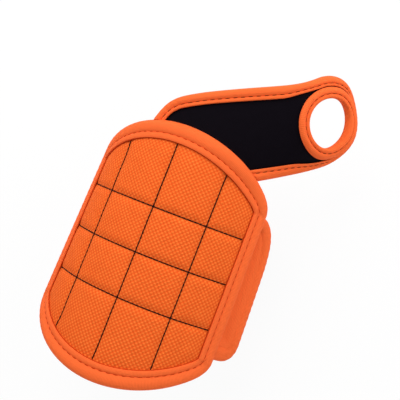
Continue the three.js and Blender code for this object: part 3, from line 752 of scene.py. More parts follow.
def spacer_mesh(nodes, colours):
    uv, u, v = nodes.flat_places()
    pitch, row_share = 2.3 * MM, 0.866
    x, y = u / pitch, v / (pitch * row_share)
    shifted = x + y.math("FLOOR").odd_cell() * 0.5
    across, up = shifted.in_cell(), y.in_cell()
    from_hole = (across * across + up * up).math("SQRT")
    sockets = {"Value": from_hole, "From Min": 0.2, "From Max": 0.34}
    rim = nodes.node("ShaderNodeMapRange", {"interpolation_type": "SMOOTHSTEP"}, sockets)
    fuzz = nodes.noise(uv, scale=2600, detail=2)
    # Painted shade: the holes darken to a quarter of the mesh's colour, with random fuzz.
    lit = rim * 0.75 + fuzz * 0.25
    base = lit.tones(colours.mesh, 0.25, 1.35)
    return surface(base, roughness=0.95 - lit * 0.15, height=rim + fuzz * 0.2, depth=0.35 * MM)


def loop_pile(nodes, colours):
    uv = nodes.flat_places()[0]
    curls = nodes.pores(uv, scale=1500, feature="SMOOTH_F1")
    tufts = nodes.noise(uv, scale=700, detail=4, rough=0.6)
    height = (1 - curls) * 0.6 + tufts * 0.6
    # Painted light and shade: darker between the curls, lighter on their tops, with random tufts.
    base = height.tones(colours.loop, 0.45, 1.8)
    return surface(base, roughness=0.98 - tufts * 0.12, height=height, depth=0.4 * MM)


def hook_moulding(nodes, colours):
    grain = nodes.noise(nodes.object_places(), scale=900)
    base = grain.tones(colours.hook, 0.7, 1.4)
    return surface(base, roughness=0.4 + grain * 0.2, height=grain, depth=0.05 * MM)


def foam_cells(nodes, colours):
    pores = nodes.pores(nodes.object_places(), scale=1400, feature="F1")
    # Painted shade: the colour darkens in the pores.
    base = pores.tones(colours.foam, 0.6, 1.15)
    return surface(base, roughness=1 - pores * 0.1, height=pores, depth=0.3 * MM)


def plated_steel(nodes, colours):
    where = nodes.object_places()
    stretched = nodes.node("ShaderNodeMapping", None, {"Vector": where, "Scale": (3000, 120, 900)})
    brushed = nodes.noise(stretched, scale=1, detail=2)
    base = nodes.noise(where, scale=120).tones(colours.steel, 0.85, 1.1)
    return surface(base, roughness=0.24 + brushed * 0.16, height=brushed, depth=0.02 * MM)


def thread_of(name):
    def twisted(nodes, colours):
        twist = nodes.noise(nodes.object_places(), scale=2400, detail=2)
        base = twist.tones(getattr(colours, name), 0.7, 1.2)
        return surface(base, roughness=0.75 - twist * 0.15, height=twist, depth=0.06 * MM)

    return twisted


SHINE = "Specular IOR Level"
# The tape's thread is darkened for painted shade in its stitch holes, and the lip's thread is a
# painted shadow line.
THREADS = ("tape_thread_and_hole_shade", "strap_thread", "lip_shadow_line", "quilt_thread")
FINISHES = {
    "woven_orange": (woven_orange, {SHINE: 0.06}),
    "binding_orange": (binding_orange, {SHINE: 0.08}),
    "flat_black": (flat_black, {SHINE: 0.03}),
    "spacer_mesh": (spacer_mesh, {SHINE: 0.3}),
    "loop_pile": (loop_pile, {SHINE: 0.08, "Sheen Weight": 0.06}),
    "hook_moulding": (hook_moulding, {}),
    "foam_cells": (foam_cells, {SHINE: 0.2}),
    "plated_steel": (plated_steel, {"Metallic": 1.0}),
    **{name: (thread_of(name), {SHINE: 0.06}) for name in THREADS},
}


def new_finish(name, colours):
    """A Principled material: constants on its sockets, then what varies over it."""
    build, constants = FINISHES[name]
    material = bpy.data.materials.new(name)
    material.use_nodes = True
    tree = material.node_tree
    shader = tree.nodes["Principled BSDF"]
    for socket, value in constants.items():
        shader.inputs[socket].default_value = value
    for socket, shade in build(Shade(tree), colours).items():
        tree.links.new(shade.socket, shader.inputs[socket])
    return material


# Stitches and hooks


class RepeatTree:
    """Geometry nodes that put one shape at every point, turned by its attributes."""

    def __init__(self, name, sizes):
        self.tree, self.ids = bpy.data.node_groups.new(name, "GeometryNodeTree"), {}
        sockets = self.tree.interface
        kinds = {"Points": "NodeSocketGeometry", "Finish": "NodeSocketMaterial"}
        for label in ("Points", *sizes, "Finish"):
            kind = kinds.get(label, "NodeSocketFloat")
            made = sockets.new_socket(name=label, in_out="INPUT", socket_type=kind)
            self.ids[label] = made.identifier
        sockets.new_socket(name="Pieces", in_out="OUTPUT", socket_type="NodeSocketGeometry")
        self.given = self.tree.nodes.new("NodeGroupInput").outputs

    def add(self, kind, sockets=None, **settings):
        """Adds a node and gives its first output."""
        node = self.tree.nodes.new(kind)
        for name, value in settings.items():
            setattr(node, name, value)
        for name, value in (sockets or {}).items():
            if isinstance(value, bpy.types.NodeSocket):
                self.tree.links.new(value, node.inputs[name])
            else:
                node.inputs[name].default_value = value
        return next(iter(node.outputs), None)

    def sized(self, across, along, up):
        sizes = {k: self.given[label] for k, label in enumerate((across, along, up))}
        return self.add("ShaderNodeCombineXYZ", sizes)

    def facing(self):
        """Rotation whose x follows the attribute along and whose z follows out."""
        ways = [
            self.add("GeometryNodeInputNamedAttribute", {"Name": label}, data_type="FLOAT_VECTOR")
            for label in ("along", "out")
        ]
        align = "FunctionNodeAlignRotationToVector"
        turn = self.add(align, {"Vector": ways[0]}, axis="X", pivot_axis="AUTO")
        return self.add(align, {"Vector": ways[1], "Rotation": turn}, axis="Z", pivot_axis="X")

    def close(self, shape, scale):
        sockets = {"Points": self.given["Points"], "Instance": shape}
        sockets.update({"Rotation": self.facing(), "Scale": scale})
        spread = self.add("GeometryNodeInstanceOnPoints", sockets)
        real = self.add("GeometryNodeRealizeInstances", {"Geometry": spread})
        soft = self.add("GeometryNodeSetShadeSmooth", {0: real})
        look = {"Geometry": soft, "Material": self.given["Finish"]}
        self.add("NodeGroupOutput", {0: self.add("GeometryNodeSetMaterial", look)})
        return self


def stitch_tree():
    tree = RepeatTree("thread_stitches", ("Stitch", "Thread"))
    bead = tree.add("GeometryNodeMeshUVSphere", {"Segments": 8, "Rings": 6, "Radius": 0.5})
    return tree.close(bead, tree.sized("Stitch", "Thread", "Thread"))


def hook_tree():
    """A stem with a flattened head, one high before it is sized."""
    tree = RepeatTree("moulded_hooks", ("Height",))
    cone = {"Vertices": 6, "Radius Top": 0.16, "Radius Bottom": 0.3, "Depth": 0.8}
    stem = tree.add("GeometryNodeMeshCone", cone)
    head = tree.add("GeometryNodeMeshUVSphere", {"Segments": 8, "Rings": 4, "Radius": 0.42})
    flattened = {"Geometry": head, "Translation": (0, 0, 0.8), "Scale": (1.25, 0.8, 0.5)}
    cap = tree.add("GeometryNodeTransform", flattened)
    both = tree.add("GeometryNodeJoinGeometry")
    for part in (stem, cap):
        tree.tree.links.new(part, both.node.inputs[0])
    return tree.close(both, tree.sized("Height", "Height", "Height"))


def repeated(name, tree, rows, values, material):
    """A plain mesh of the tree's shape at each spot, turned to its way and its outside."""
    spots, ways, outs = rows
    mesh = bpy.data.meshes.new(name)
    mesh.from_pydata(spots.tolist(), [], [])
    for label, vectors in (("along", ways), ("out", outs)):
        layer = mesh.attributes.new(label, "FLOAT_VECTOR", "POINT")
        layer.data.foreach_set("vector", vectors.astype(np.float32).ravel())
    piece = linked(name, mesh)
    modifier = piece.modifiers.new("Repeat", "NODES")
    modifier.node_group = tree.tree
    for label, value in {**values, "Finish": material}.items():
        modifier[tree.ids[label]] = value
    graph = bpy.context.evaluated_depsgraph_get()
    made = bpy.data.meshes.new_from_object(piece.evaluated_get(graph), depsgraph=graph)
    piece.modifiers.clear()
    piece.data = made
    made.name = name
    made.materials.clear()
    made.materials.append(material)
    made.polygons.foreach_set("material_index", [0] * len(made.polygons))
    if not made.polygons:
        raise RuntimeError(f"{name} came out empty")
    return piece


def turned_spots(place, spots, before, after, heights, out):
    """Places on the form, with their way from before to after and their outside."""
    at = place(*spots.T, heights)
    ways = place(*after.T, heights) - place(*before.T, heights)
    return at, ways, place(*spots.T, heights + out) - at


def line_spots(flat, heights, place, pitch, closed=False):
    """Evenly spaced places on a flat line, turned along it."""
    line = whole_line(flat, closed)
    way = travelled(line)
    count = int(way[-1] / pitch)
    where = (np.arange(count) + 0.5) * way[-1] / count
    spots, before, after = (along(line, where + step) for step in (0, -NUDGE, NUDGE))
    heights = np.interp(where, way, np.broadcast_to(heights, way.shape))
    return turned_spots(place, spots, before, after, heights, NUDGE)


# The wristband's own pieces and cuts


class Piece(NamedTuple):
    """The body that a piece moves with, its slot, its finish and the solid that it replaces."""

    body: str
    slot: str
    finish: str
    replaces: str = ""


PIECES = {
    "quilted_face": Piece("panel", "orange_cloth", "woven_orange", "panel_face"),
    "panel_mesh_lining": Piece("panel", "black_mesh", "spacer_mesh", "panel_lining"),
    "foam_pad": Piece("panel", "foam", "foam_cells", "foam_core"),
    "panel_edge_tape": Piece("panel", "orange_tape", "binding_orange", "panel_binding"),
    "panel_edge_tape_stitches": Piece("panel", "orange_tape", "tape_thread_and_hole_shade"),
    # Dark stitches along the lip of the panel's tape, as a painted shadow line.
    "panel_lip_shadow_stitches": Piece("panel", "orange_tape", "lip_shadow_line"),
    "quilting_stitches": Piece("panel", "black_cloth", "quilt_thread"),
    "tab_cloth": Piece("closing_tab", "orange_cloth", "binding_orange", "tab_face"),
    "tab_hook_tape": Piece("closing_tab", "hook_plastic", "hook_moulding", "hook_tape"),
    "tab_hooks": Piece("closing_tab", "hook_plastic", "hook_moulding"),
    "tab_edge_tape": Piece("closing_tab", "orange_tape", "binding_orange", "tab_binding"),
    "band_cloth": Piece("wrap_band", "orange_cloth", "woven_orange", "band_face"),
    "band_mesh_lining": Piece("wrap_band", "black_mesh", "spacer_mesh", "band_lining"),
    "band_loop_patch": Piece("wrap_band", "loop_cloth", "loop_pile", "loop_patch"),
    "band_edge_tape": Piece("wrap_band", "orange_tape", "binding_orange", "band_binding"),
    "band_edge_tape_stitches": Piece("wrap_band", "orange_tape", "tape_thread_and_hole_shade"),
    "strap_cloth": Piece("hand_strap", "black_cloth", "flat_black", "strap_face"),
    "strap_mesh_lining": Piece("hand_strap", "black_mesh", "spacer_mesh", "strap_lining"),
    "strap_edge_tape": Piece("hand_strap", "orange_tape", "binding_orange", "strap_binding"),
    "strap_edge_tape_stitches": Piece("hand_strap", "orange_tape", "strap_thread"),
    "thumb_hole_tape": Piece("hand_strap", "orange_tape", "binding_orange", "thumb_hole_binding"),
    "thumb_hole_tape_stitches": Piece("hand_strap", "orange_tape", "strap_thread"),
}
# The way in which a moving body's cloth leaves its seam, and where its bend starts and ends
SEAM_BENDS = {
    "hand_strap": ((0.19, 0.97, -0.16), -3 * MM, 9 * MM),
    "closing_tab": ((0.25, 0, -0.97), -0.5 * MM, 6 * MM),
    "wrap_band": ((0.35, 0, -0.94), -0.5 * MM, 9 * MM),
}
# Flat places, in millimetres, on the strap's outer edge from the thumb hole to the panel
STRAP_OUTER_EDGE = ((39, 95.8), (1, 79), (-12, 71.5))
LOOP_POINTS = 400
NARROW_END = 1.4  # where the strap's tape has its full width, in radii of the loop
QUILT_PUCKER = 0.05
PUFF_POWER = 0.55
QUILT_START, QUILT_FULL = -1.5 * MM, 6 * MM  # from the lip of the panel's tape
QUILT_AT_TAPE = 0.35  # share of the seams' depth that is left beside the tape
# Slow waves of the slack cloth: turn per millimetre across and along, and at the middle
SLACK_WAVES = ((0.31, 0.17, 0.8), (-0.11, 0.23, 2.1))


class Wristband:
    """Flat cuts, places on the form and finishes shared by the operators."""

    def __init__(self, settings):
        self.panel, self.closing, self.strap = settings.panel, settings.closing, settings.strap
        self.sewing, self.colours = settings.sewing, settings.colours
        self.form = CuffForm(settings.form)
        p, c, roll = self.panel, self.closing, self.sewing.roll
        self.half_width = p.cells / 2 * p.cell_width + p.side_margin
        self.side_half = p.cells / 2 * p.cell_length - p.corner_drop
        self.hinge_arc = self.half_width + roll + c.seam_gap
        self.tab_end = self.hinge_arc + c.tab_reach
        self.tab_half = self.side_half - c.tab_setback
        self.band_end = self.half_width - c.band_overlap
        girth = 2 * float(self.form.half_girth(np.array(0.0)))
        self.band_length = girth - self.hinge_arc - self.band_end
        self.panel_edge = EdgeLine(self.panel_outline(), TAPE_STEP, True)
        self.seam_line = self.strap_end_edge(roll + c.seam_gap)
        self.sewn_line = self.strap_end_edge(roll - c.sewn_in)
        self.sewn_reach = c.seam_gap + c.sewn_in

    # What every piece needs

    def finish(self, name):
        return bpy.data.materials.get(name) or new_finish(name, self.colours)

    def finish_of(self, name):
        return self.finish(PIECES[name].finish)

    def place_of(self, name):
        """The rule that wraps a piece's flat cloth onto the form."""
        rules = {"closing_tab": self.on_tab, "wrap_band": self.on_band}
        return rules.get(PIECES[name].body, self.form.place)

    def dress(self, piece):
        """Hides the solid that the piece replaces and attaches a panel piece to the panel; other
        pieces go to bend.
        """
        kind = PIECES[piece.name]
        if kind.replaces:
            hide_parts(kind.replaces)
        if kind.body == "panel":
            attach(piece, "panel")
        else:
            self.bend(piece, kind.body)
        return piece

    def bend(self, piece, body):
        """Reads the hinge of the joint that carries the piece's own body and the way of its bend,
        but only bakes the piece's placement; it is neither bent nor attached to that body.
        """
        joints = frame["record"]["behaviour"]["joints"]
        joint = next(j for j in joints if j["child"] == body)
        point, axis = np.array(joint["pos_m"], float), np.array(joint["axis"], float)
        way, start, end = SEAM_BENDS[body]
        way = way - axis * (np.array(way) @ axis)
        way /= np.linalg.norm(way)
        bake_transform(piece)

    def layer(self, name, cut, sides):
        """A layer of cloth between its two sides."""
        return self.dress(slab(name, cut, *sides, self.place_of(name), self.finish_of(name)))

    def repeat(self, name, tree, rows, values):
        return self.dress(repeated(name, tree, rows, values, self.finish_of(name)))

    def stitch(self, name, rows, size):
        """Stitches of a length and a thickness at every spot of the rows."""
        self.repeat(name, stitch_tree(), rows, dict(zip(("Stitch", "Thread"), size)))

    # Panel

    def panel_outline(self):
        p, half, side = self.panel, self.half_width, self.side_half
        turn = half - p.corner * math.sqrt(0.5)
        share = (turn / half) ** 2
        end = side - p.corner / 2
        strap_end = side + p.strap_arch * (1 - share)
        open_end = -side - p.open_arch * (1 - share)
        parts = [
            straight((half, -end), (half, end)),
            curve((half, end), (half, side), (turn, strap_end)),
            curve((turn, strap_end), (0, side + p.strap_arch * (1 + share)), (-turn, strap_end)),
            curve((-turn, strap_end), (-half, side), (-half, end)),
            straight((-half, end), (-half, -end)),
            curve((-half, -end), (-half, -side), (-turn, open_end)),
            curve((-turn, open_end), (0, -side - p.open_arch * (1 + share)), (turn, open_end)),
            curve((turn, open_end), (half, -side), (half, -end)),
        ]
        return np.vstack(parts)

    def seams(self, pitch):
        return (np.arange(1, self.panel.cells) - self.panel.cells / 2) * pitch

    def quilt_height(self, flat):
        """Face height over the form: puffed cells between the stitched valleys."""
        p = self.panel
        valley, puff = 1.0, 1.0
        for k, pitch in enumerate((p.cell_width, p.cell_length)):
            away = np.abs(flat[:, k, None] - self.seams(pitch)).min(1)
            turn = 2 * np.pi * flat[:, 1 - k] / self.sewing.quilt_pitch
            pucker = (1 - QUILT_PUCKER * np.cos(turn)) / (1 + QUILT_PUCKER)
            valley = valley * (1 - pucker * np.exp(-((away / p.seam_reach) ** 2)))
            puff = puff * np.minimum(away / (pitch / 2), 1) ** PUFF_POWER
        far = edge_distance(flat, self.panel_edge.points) - p.tape
        edge = smooth(far, QUILT_START, QUILT_FULL)
        x, y = flat.T / MM
        slack = p.slack * np.prod([np.sin(a * x + b * y + c) for a, b, c in SLACK_WAVES], axis=0)
        depth = p.seam_depth * (1 - valley) * mix(QUILT_AT_TAPE, 1, edge)
        return (p.puff * puff + slack) * edge - depth

    def magnet_windows(self):
        p = self.panel
        places, half = np.arange(p.cells) - (p.cells - 1) / 2, np.array(p.magnet_window) / 2
        limit = self.seams(p.cell_length).max() + p.magnet_space + half[1] - p.magnet_play / 2
        middles = [
            np.array([s, y])
            for y in np.clip(places * p.cell_length, -limit, limit)
            for s in places * p.cell_width
        ]
        return [even_steps(rectangle(at - half, at + half), BAND_STEP, True) for at in middles]

    # Tab and band

    def on_tab(self, s, y, h):
        lift = self.closing.tab_lift * smooth(s, self.hinge_arc, self.tab_end)
        return self.form.place(s, y, h + lift)

    def on_band(self, u, v, h):
        c = self.closing
        half = self.form.half_girth(v)
        way = self.hinge_arc + u / self.band_length * (2 * half - self.hinge_arc - self.band_end)
        left = way <= half
        s = np.where(left, -way, 2 * half - way)
        to_tab = 1 - smooth(s, self.tab_end, half - self.form.sizes.rest_half_width)
        to_panel = 1 - smooth(s, self.hinge_arc, self.tab_end + c.tab_reach)
        dive = np.where(left, 0, mix(c.tuck_tab * to_tab, c.tuck_panel, to_panel))
        return self.form.place(s, v, h - dive)

    @staticmethod
    def tongue(start, end, half, corner, turn, taper):
        """Free edge of a tongue. Its last corner takes turn across the cuff and taper along it."""
        parts = [
            straight((start, -half), (end - corner, -half)),
            oval_arc((end - corner, corner - half), corner, corner, -np.pi / 2, 0),
            straight((end, corner - half), (end, half - taper)),
            oval_arc((end - turn, half - taper), turn, taper, 0, np.pi / 2),
            straight((end - turn, half), (start, half)),
            [(start, half)],
        ]
        return np.vstack(parts)

    def tab_edge(self):
        c, start = self.closing, self.hinge_arc - self.sewn_reach
        corners = c.tab_corner, c.tab_turn, c.tab_taper
        return EdgeLine(self.tongue(start, self.tab_end, self.tab_half, *corners), TAPE_STEP)

    def band_edge(self):
        c = self.closing
        outline = self.tongue(-self.sewn_reach, self.band_length, c.band_half, *[c.band_corner] * 3)
        return EdgeLine(outline, BAND_TAPE_STEP)

    def tongue_cut(self, edge, start, step, grid):
        """Cloth of a tongue, inside its tape and up to its seam."""
        line = edge.inset(self.sewing.tape_cloth)
        line[[0, -1], 0] = start
        return cut_cloth(even_steps(line, step, True), grid)

    # Strap

    def strap_end_edge(self, reach):
        """The panel's edge at the strap, moved outwards, in order across the cuff."""
        line = self.panel_edge.inset(-reach)
        line = line[line[:, 1] > 0]
        return line[np.argsort(line[:, 0])]

    def on_seam(self, s):
        return np.array([s, np.interp(s, *self.seam_line.T)])

    def loop_radii(self):
        return np.array(self.strap.hole_size) / 2 + self.strap.loop

    def from_loop(self, flat):
        return (flat - np.array(self.strap.hole_centre)) / self.loop_radii()

    def touch_angle(self, spot, side):
        """Where on the loop a straight line from the spot touches it."""
        away = self.from_loop(spot)
        return (math.atan2(away[1], away[0]) + side * math.acos(1 / np.hypot(*away))) % (2 * np.pi)

    def strap_edge(self):
        """From under the panel's tab side, round the thumb hole and back to the panel."""
        st = self.strap
        right = self.on_seam(self.half_width - st.right_setback)
        left = self.on_seam(st.left_setback - self.half_width)
        outer = np.array(STRAP_OUTER_EDGE) * MM
        entry, leave = self.touch_angle(right, 1), self.touch_angle(outer[0], -1)
        entry = entry - 2 * np.pi if entry > leave else entry
        radii, centre = self.loop_radii(), np.array(st.hole_centre)
        loop = oval_arc(centre, *radii, entry, leave, LOOP_POINTS)
        close = centre + radii * (math.cos(leave), math.sin(leave))
        first = right + (right - loop[0]) / np.linalg.norm(right - loop[0]) * st.underlap
        knots = np.vstack([close, outer, left, left - (0, st.underlap)])
        return EdgeLine(np.vstack([straight(first, loop[0]), loop, smooth_line(knots)]), TAPE_STEP)

    def strap_tape_width(self, flat):
        st = self.strap
        narrow = st.loop - st.hole_tape - st.tape_gap
        away = np.linalg.norm(self.from_loop(flat), axis=1)
        return mix(narrow, st.tape, smooth(away, 1, NARROW_END))

    def hole_edge(self):
        radii = np.array(self.strap.hole_size) / 2
        ring = oval_arc(self.strap.hole_centre, *radii, 2 * np.pi, 0, LOOP_POINTS)
        return EdgeLine(ring, HOLE_TAPE_STEP, True)

    def past_seam(self, flat):
        """How far a flat place lies past the line where the strap meets the panel's roll."""
        return flat[..., 1] - np.interp(flat[..., 0], *self.sewn_line.T)

    def cut_at_seam(self, line, inwards):
        """Spots of the strap's tape, whose lines run from the panel's roll back to it."""
        spots = np.empty((*inwards.shape, 2))
        for k in range(inwards.shape[1]):
            row = line.inset(inwards[:, k])
            past = self.past_seam(row)
            free = np.flatnonzero(past > 0)
            ends = []
            for last, step in ((free[0], -1), (free[-1], 1)):
                over = 0 <= last + step < len(row)
                share = past[last] / max(past[last] - past[last + step], TINY) if over else 0
                ends.append(last + step * share)
            where, way = np.linspace(*ends, len(row)), np.arange(len(row))
            spots[:, k] = np.stack([np.interp(where, way, axis) for axis in row.T], -1)
        return spots

    def strap_cut(self):
        free = self.strap_edge().inset(self.sewing.tape_cloth)
        free = free[self.past_seam(free) > 0]
        s = np.arange(free[-1, 0], free[0, 0], CUT_STEP)[1:]
        seam = np.stack([s, np.interp(s, *self.sewn_line.T)], -1)
        hole = self.hole_edge().inset(self.sewing.tape_cloth)
        outline = even_steps(np.vstack([free, seam]), CUT_STEP, True)
        return cut_cloth(outline, STRAP_GRID, [even_steps(hole[::-1], CUT_STEP, True)])


def wristband(context):
    return Wristband(context.scene.wristband)


def sheet_of(piece, cut):
    size = np.ptp(cut[0], axis=0)
    area = min(float(np.abs(doubled_areas(*cut)).sum() / 2), float(size[0] * size[1]))


# Operators


class WRISTBAND_OT_panel(bpy.types.Operator):
    """Quilted face, foam and mesh lining of the panel"""

    bl_idname = "wristband.panel"
    bl_label = "Quilted Panel"

    def execute(self, context):
        w = wristband(context)
        p = w.panel
        edge = even_steps(w.panel_edge.inset(w.sewing.tape_cloth), CUT_STEP, True)
        face_cut, lining_cut = cut_cloth(edge, FACE_GRID), cut_cloth(edge, PLAIN_GRID)
        foam_cut = cut_cloth(edge, PLAIN_GRID, w.magnet_windows())
        face = w.layer("quilted_face", face_cut, (w.quilt_height(face_cut[0]), p.face_low))
        lining = w.layer("panel_mesh_lining", lining_cut, p.lining_sides)
        foam = w.layer("foam_pad", foam_cut, p.foam_sides)
        sheet_of(face, face_cut)
        sheet_of(lining, lining_cut)
        return {"FINISHED"}


class WRISTBAND_OT_magnets(bpy.types.Operator):
    """Plated finish of the magnets in the cells"""

    bl_idname = "wristband.magnets"
    bl_label = "Magnets"

    def execute(self, context):
        steel = wristband(context).finish("plated_steel")
        for name, node in frame["nodes"].items():
            if name.startswith("magnet_"):
                node.data.materials.clear()
                node.data.materials.append(steel)
        return {"FINISHED"}


# Where the tab's cloth swells over the lip of its tape and falls again, in widths of the tape
TAB_RISE, TAB_FALL = (0.45, 0.7), (0.95, 1.6)
# Bare edges of the hook tape, across the cuff and along it
HOOK_MARGINS = ((0.9 * MM, 0.6 * MM), (0.8 * MM, 0.5 * MM))


class WRISTBAND_OT_tab(bpy.types.Operator):
    """Cloth of the closing tab with its hook tape"""

    bl_idname = "wristband.tab"
    bl_label = "Closing Tab"

    def execute(self, context):
        w = wristband(context)
        c, edge = w.closing, w.tab_edge()
        cut = w.tongue_cut(edge, w.hinge_arc - w.sewn_reach, TAB_STEP, TAB_GRID)
        away = edge_distance(cut[0], edge.points) / c.tab_tape
        swelling = smooth(away, *TAB_RISE) * (1 - smooth(away, *TAB_FALL))
        (face, under), swollen = c.tab_sides, c.tab_tape_sides[0] + c.tab_swelling
        cloth = w.layer("tab_cloth", cut, (mix(face, swollen, swelling), under))
        half = w.tab_half - c.tab_tape - c.patch_gap
        low = w.hinge_arc, -half
        high = w.tab_end - c.tab_corner - c.patch_gap, half - c.tab_taper / 2
        tape_cut = cut_cloth(even_steps(rectangle(low, high), TAB_STEP, True), HOOK_TAPE_GRID)
        w.layer("tab_hook_tape", tape_cut, c.hook_sides)
        axes = [
            np.arange(start + before, end - after, c.hook_pitch)
            for start, end, (before, after) in zip(low, high, HOOK_MARGINS)
        ]
        grid = np.stack(np.meshgrid(*axes), -1).reshape(-1, 2)
        rows = turned_spots(w.on_tab, grid, grid, grid + (0, NUDGE), c.hook_sides[1], -NUDGE)
        hooks = w.repeat("tab_hooks", hook_tree(), rows, {"Height": c.hook_height})
        sheet_of(cloth, cut)
        return {"FINISHED"}


class WRISTBAND_OT_band(bpy.types.Operator):
    """Cloth, mesh lining and loop patch of the wrap band"""

    bl_idname = "wristband.band"
    bl_label = "Wrap Band"

    def execute(self, context):
        w = wristband(context)
        c = w.closing
        cut = w.tongue_cut(w.band_edge(), -w.sewn_reach, BAND_STEP, BAND_GRID)
        half = c.band_half - c.band_tape - c.patch_gap
        end = w.band_length - c.band_corner - c.patch_gap
        patch = rectangle((c.patch_start, -half), (end, half))
        patch_cut = cut_cloth(even_steps(patch, BAND_STEP, True), PATCH_GRID)
        for name, flat, sides in (
            ("band_cloth", cut, c.band_sides),
            ("band_mesh_lining", cut, c.band_lining_sides),
            ("band_loop_patch", patch_cut, c.patch_sides),
        ):
            sheet_of(w.layer(name, flat, sides), flat)
        return {"FINISHED"}


class WRISTBAND_OT_strap(bpy.types.Operator):
    """Cloth and mesh lining of the hand strap"""

    bl_idname = "wristband.strap"
    bl_label = "Hand Strap"

    def execute(self, context):
        w = wristband(context)
        cut = w.strap_cut()
        for name, sides in (
            ("strap_cloth", w.strap.cloth_sides),
            ("strap_mesh_lining", w.strap.lining_sides),
        ):
            sheet_of(w.layer(name, cut, sides), cut)
        return {"FINISHED"}


# How far inside the tape's lip the painted shadow line is stitched.
LIP_SHADOW_INSET = 0.1 * MM
FIRST_STITCH = 0.6 * MM  # from the seam at which a tape ends


class WRISTBAND_OT_tapes(bpy.types.Operator):
    """Binding tapes round the panel, tab, band, strap and thumb hole, with their stitches"""

    bl_idname = "wristband.tapes"
    bl_label = "Bound Edges"

    def sew(self, w, name, line, width, sides, style):
        """One bound edge, with the stitches in its groove if it has one."""
        s, place = w.sewing, w.place_of(name)
        width = np.broadcast_to(width, len(line.points))
        pitch = line.travel[-1] / max(round(line.travel[-1] / s.tape_pitch), 1)
        pucker = 0.5 + 0.5 * np.cos(2 * np.pi * line.travel[: len(line.points)] / pitch)
        section = tape_section(width, sides, s, style, pucker)
        spots = w.cut_at_seam(line, section[0]) if style.ends_at_seam else line.spots(section[0])
        w.dress(swept_tape(name, line, section, spots, place, w.finish_of(name)))
        if not style.groove:
            return
        groove = line.inset(style.groove_share * width)
        if style.ends_at_seam:
            groove = groove[w.past_seam(groove) > FIRST_STITCH]
        height = sides[0] - STITCH_DEPTH * style.groove
        rows = line_spots(groove, height, place, s.tape_pitch, line.closed)
        w.stitch(name + "_stitches", rows, s.tape_stitch)

    def execute(self, context):
        w = wristband(context)
        p, c, st, s = w.panel, w.closing, w.strap, w.sewing
        stitched = TapeStyle(s.groove_share, s.crest_share, s.groove, s.crown)
        self.sew(w, "panel_edge_tape", w.panel_edge, p.tape, p.tape_sides, stitched)
        # A row of dark stitches just inside the tape's lip: a painted shadow line where the tape
        # meets the quilted face.
        lip = w.panel_edge.inset(p.tape + LIP_SHADOW_INSET)
        rows = line_spots(lip, s.lip_shadow_proud, w.form.place, s.quilt_pitch, True)
        w.stitch("panel_lip_shadow_stitches", rows, s.lip_shadow_stitch)
        domed = TapeStyle(groove_share=0.9, crest_share=0.5, groove=0, crown=s.dome)
        self.sew(w, "tab_edge_tape", w.tab_edge(), c.tab_tape, c.tab_tape_sides, domed)
        level = stitched._replace(crown=0)
        self.sew(w, "band_edge_tape", w.band_edge(), c.band_tape, c.band_tape_sides, level)
        line, sewn_in = w.strap_edge(), stitched._replace(ends_at_seam=True)
        width = w.strap_tape_width(line.points)
        self.sew(w, "strap_edge_tape", line, width, st.tape_sides, sewn_in)
        ringed = stitched._replace(groove_share=0.3, crest_share=0.12)
        ringed = ringed._replace(crown=st.hole_crown, lip_crown=s.crown)
        self.sew(w, "thumb_hole_tape", w.hole_edge(), st.hole_tape, st.tape_sides, ringed)
        return {"FINISHED"}


QUILT_INSET = 0.2 * MM  # of the quilting's ends inside the lip
SEAM_HALF, SEAM_POINTS = 80 * MM, 4000  # of a seam before it is trimmed at the lip


class WRISTBAND_OT_quilting(bpy.types.Operator):
    """Dark quilting stitches between the cells of the panel"""

    bl_idname = "wristband.quilting"
    bl_label = "Quilting Stitches"

    def execute(self, context):
        w = wristband(context)
        p, s = w.panel, w.sewing
        inner = w.panel_edge.inset(p.tape + QUILT_INSET)
        rows = []
        for k, pitch in enumerate((p.cell_width, p.cell_length)):
            for seam in w.seams(pitch):
                line = np.full((SEAM_POINTS, 2), seam)
                line[:, 1 - k] = np.linspace(-SEAM_HALF, SEAM_HALF, SEAM_POINTS)
                line = line[inside(line, inner)]
                height = w.quilt_height(line) + s.quilt_proud
                rows.append(line_spots(line, height, w.form.place, s.quilt_pitch))
        w.stitch("quilting_stitches", [np.vstack(part) for part in zip(*rows)], s.quilt_stitch)
        return {"FINISHED"}


FLOOR_HALF = 3.0
FLOOR_GLOW = 0.93  # share of the floor that shows as plain white, the rest keeps the shadow
WORLD_LIGHT = 0.25
LAMP_TARGET = Vector((0, 0.02, 0.04))
LAMPS = (  # name, place, size and power
    ("key_light", (-0.1, 0.42, 0.5), 0.5, 2.8),
    ("tab_light", (0.55, 0.4, 0.32), 0.6, 3.0),
    ("band_light", (-0.55, 0.18, 0.42), 0.6, 1.9),
    ("open_end_light", (0.1, -0.75, 0.2), 0.8, 3.0),
)
SENSOR, LENS, NEAR = 36.0, 70.68, 0.01
CAMERA_PLACE = Vector((0.1376, 0.0310, 0.4098))
CAMERA_BACK = Vector((0.329, -0.005, 0.944)).normalized()
CAMERA_RIGHT = Vector((0.884, 0.353, -0.306))


def shown_rays(nodes):
    """1 on the rays that show the background: straight, mirrored or through glass."""
    shown = nodes.node("ShaderNodeLightPath")
    path = shown.socket.node
    for label in ("Is Glossy Ray", "Is Transmission Ray"):
        shown = shown.math("MAXIMUM", Shade(nodes.tree, path.outputs[label]))
    return shown


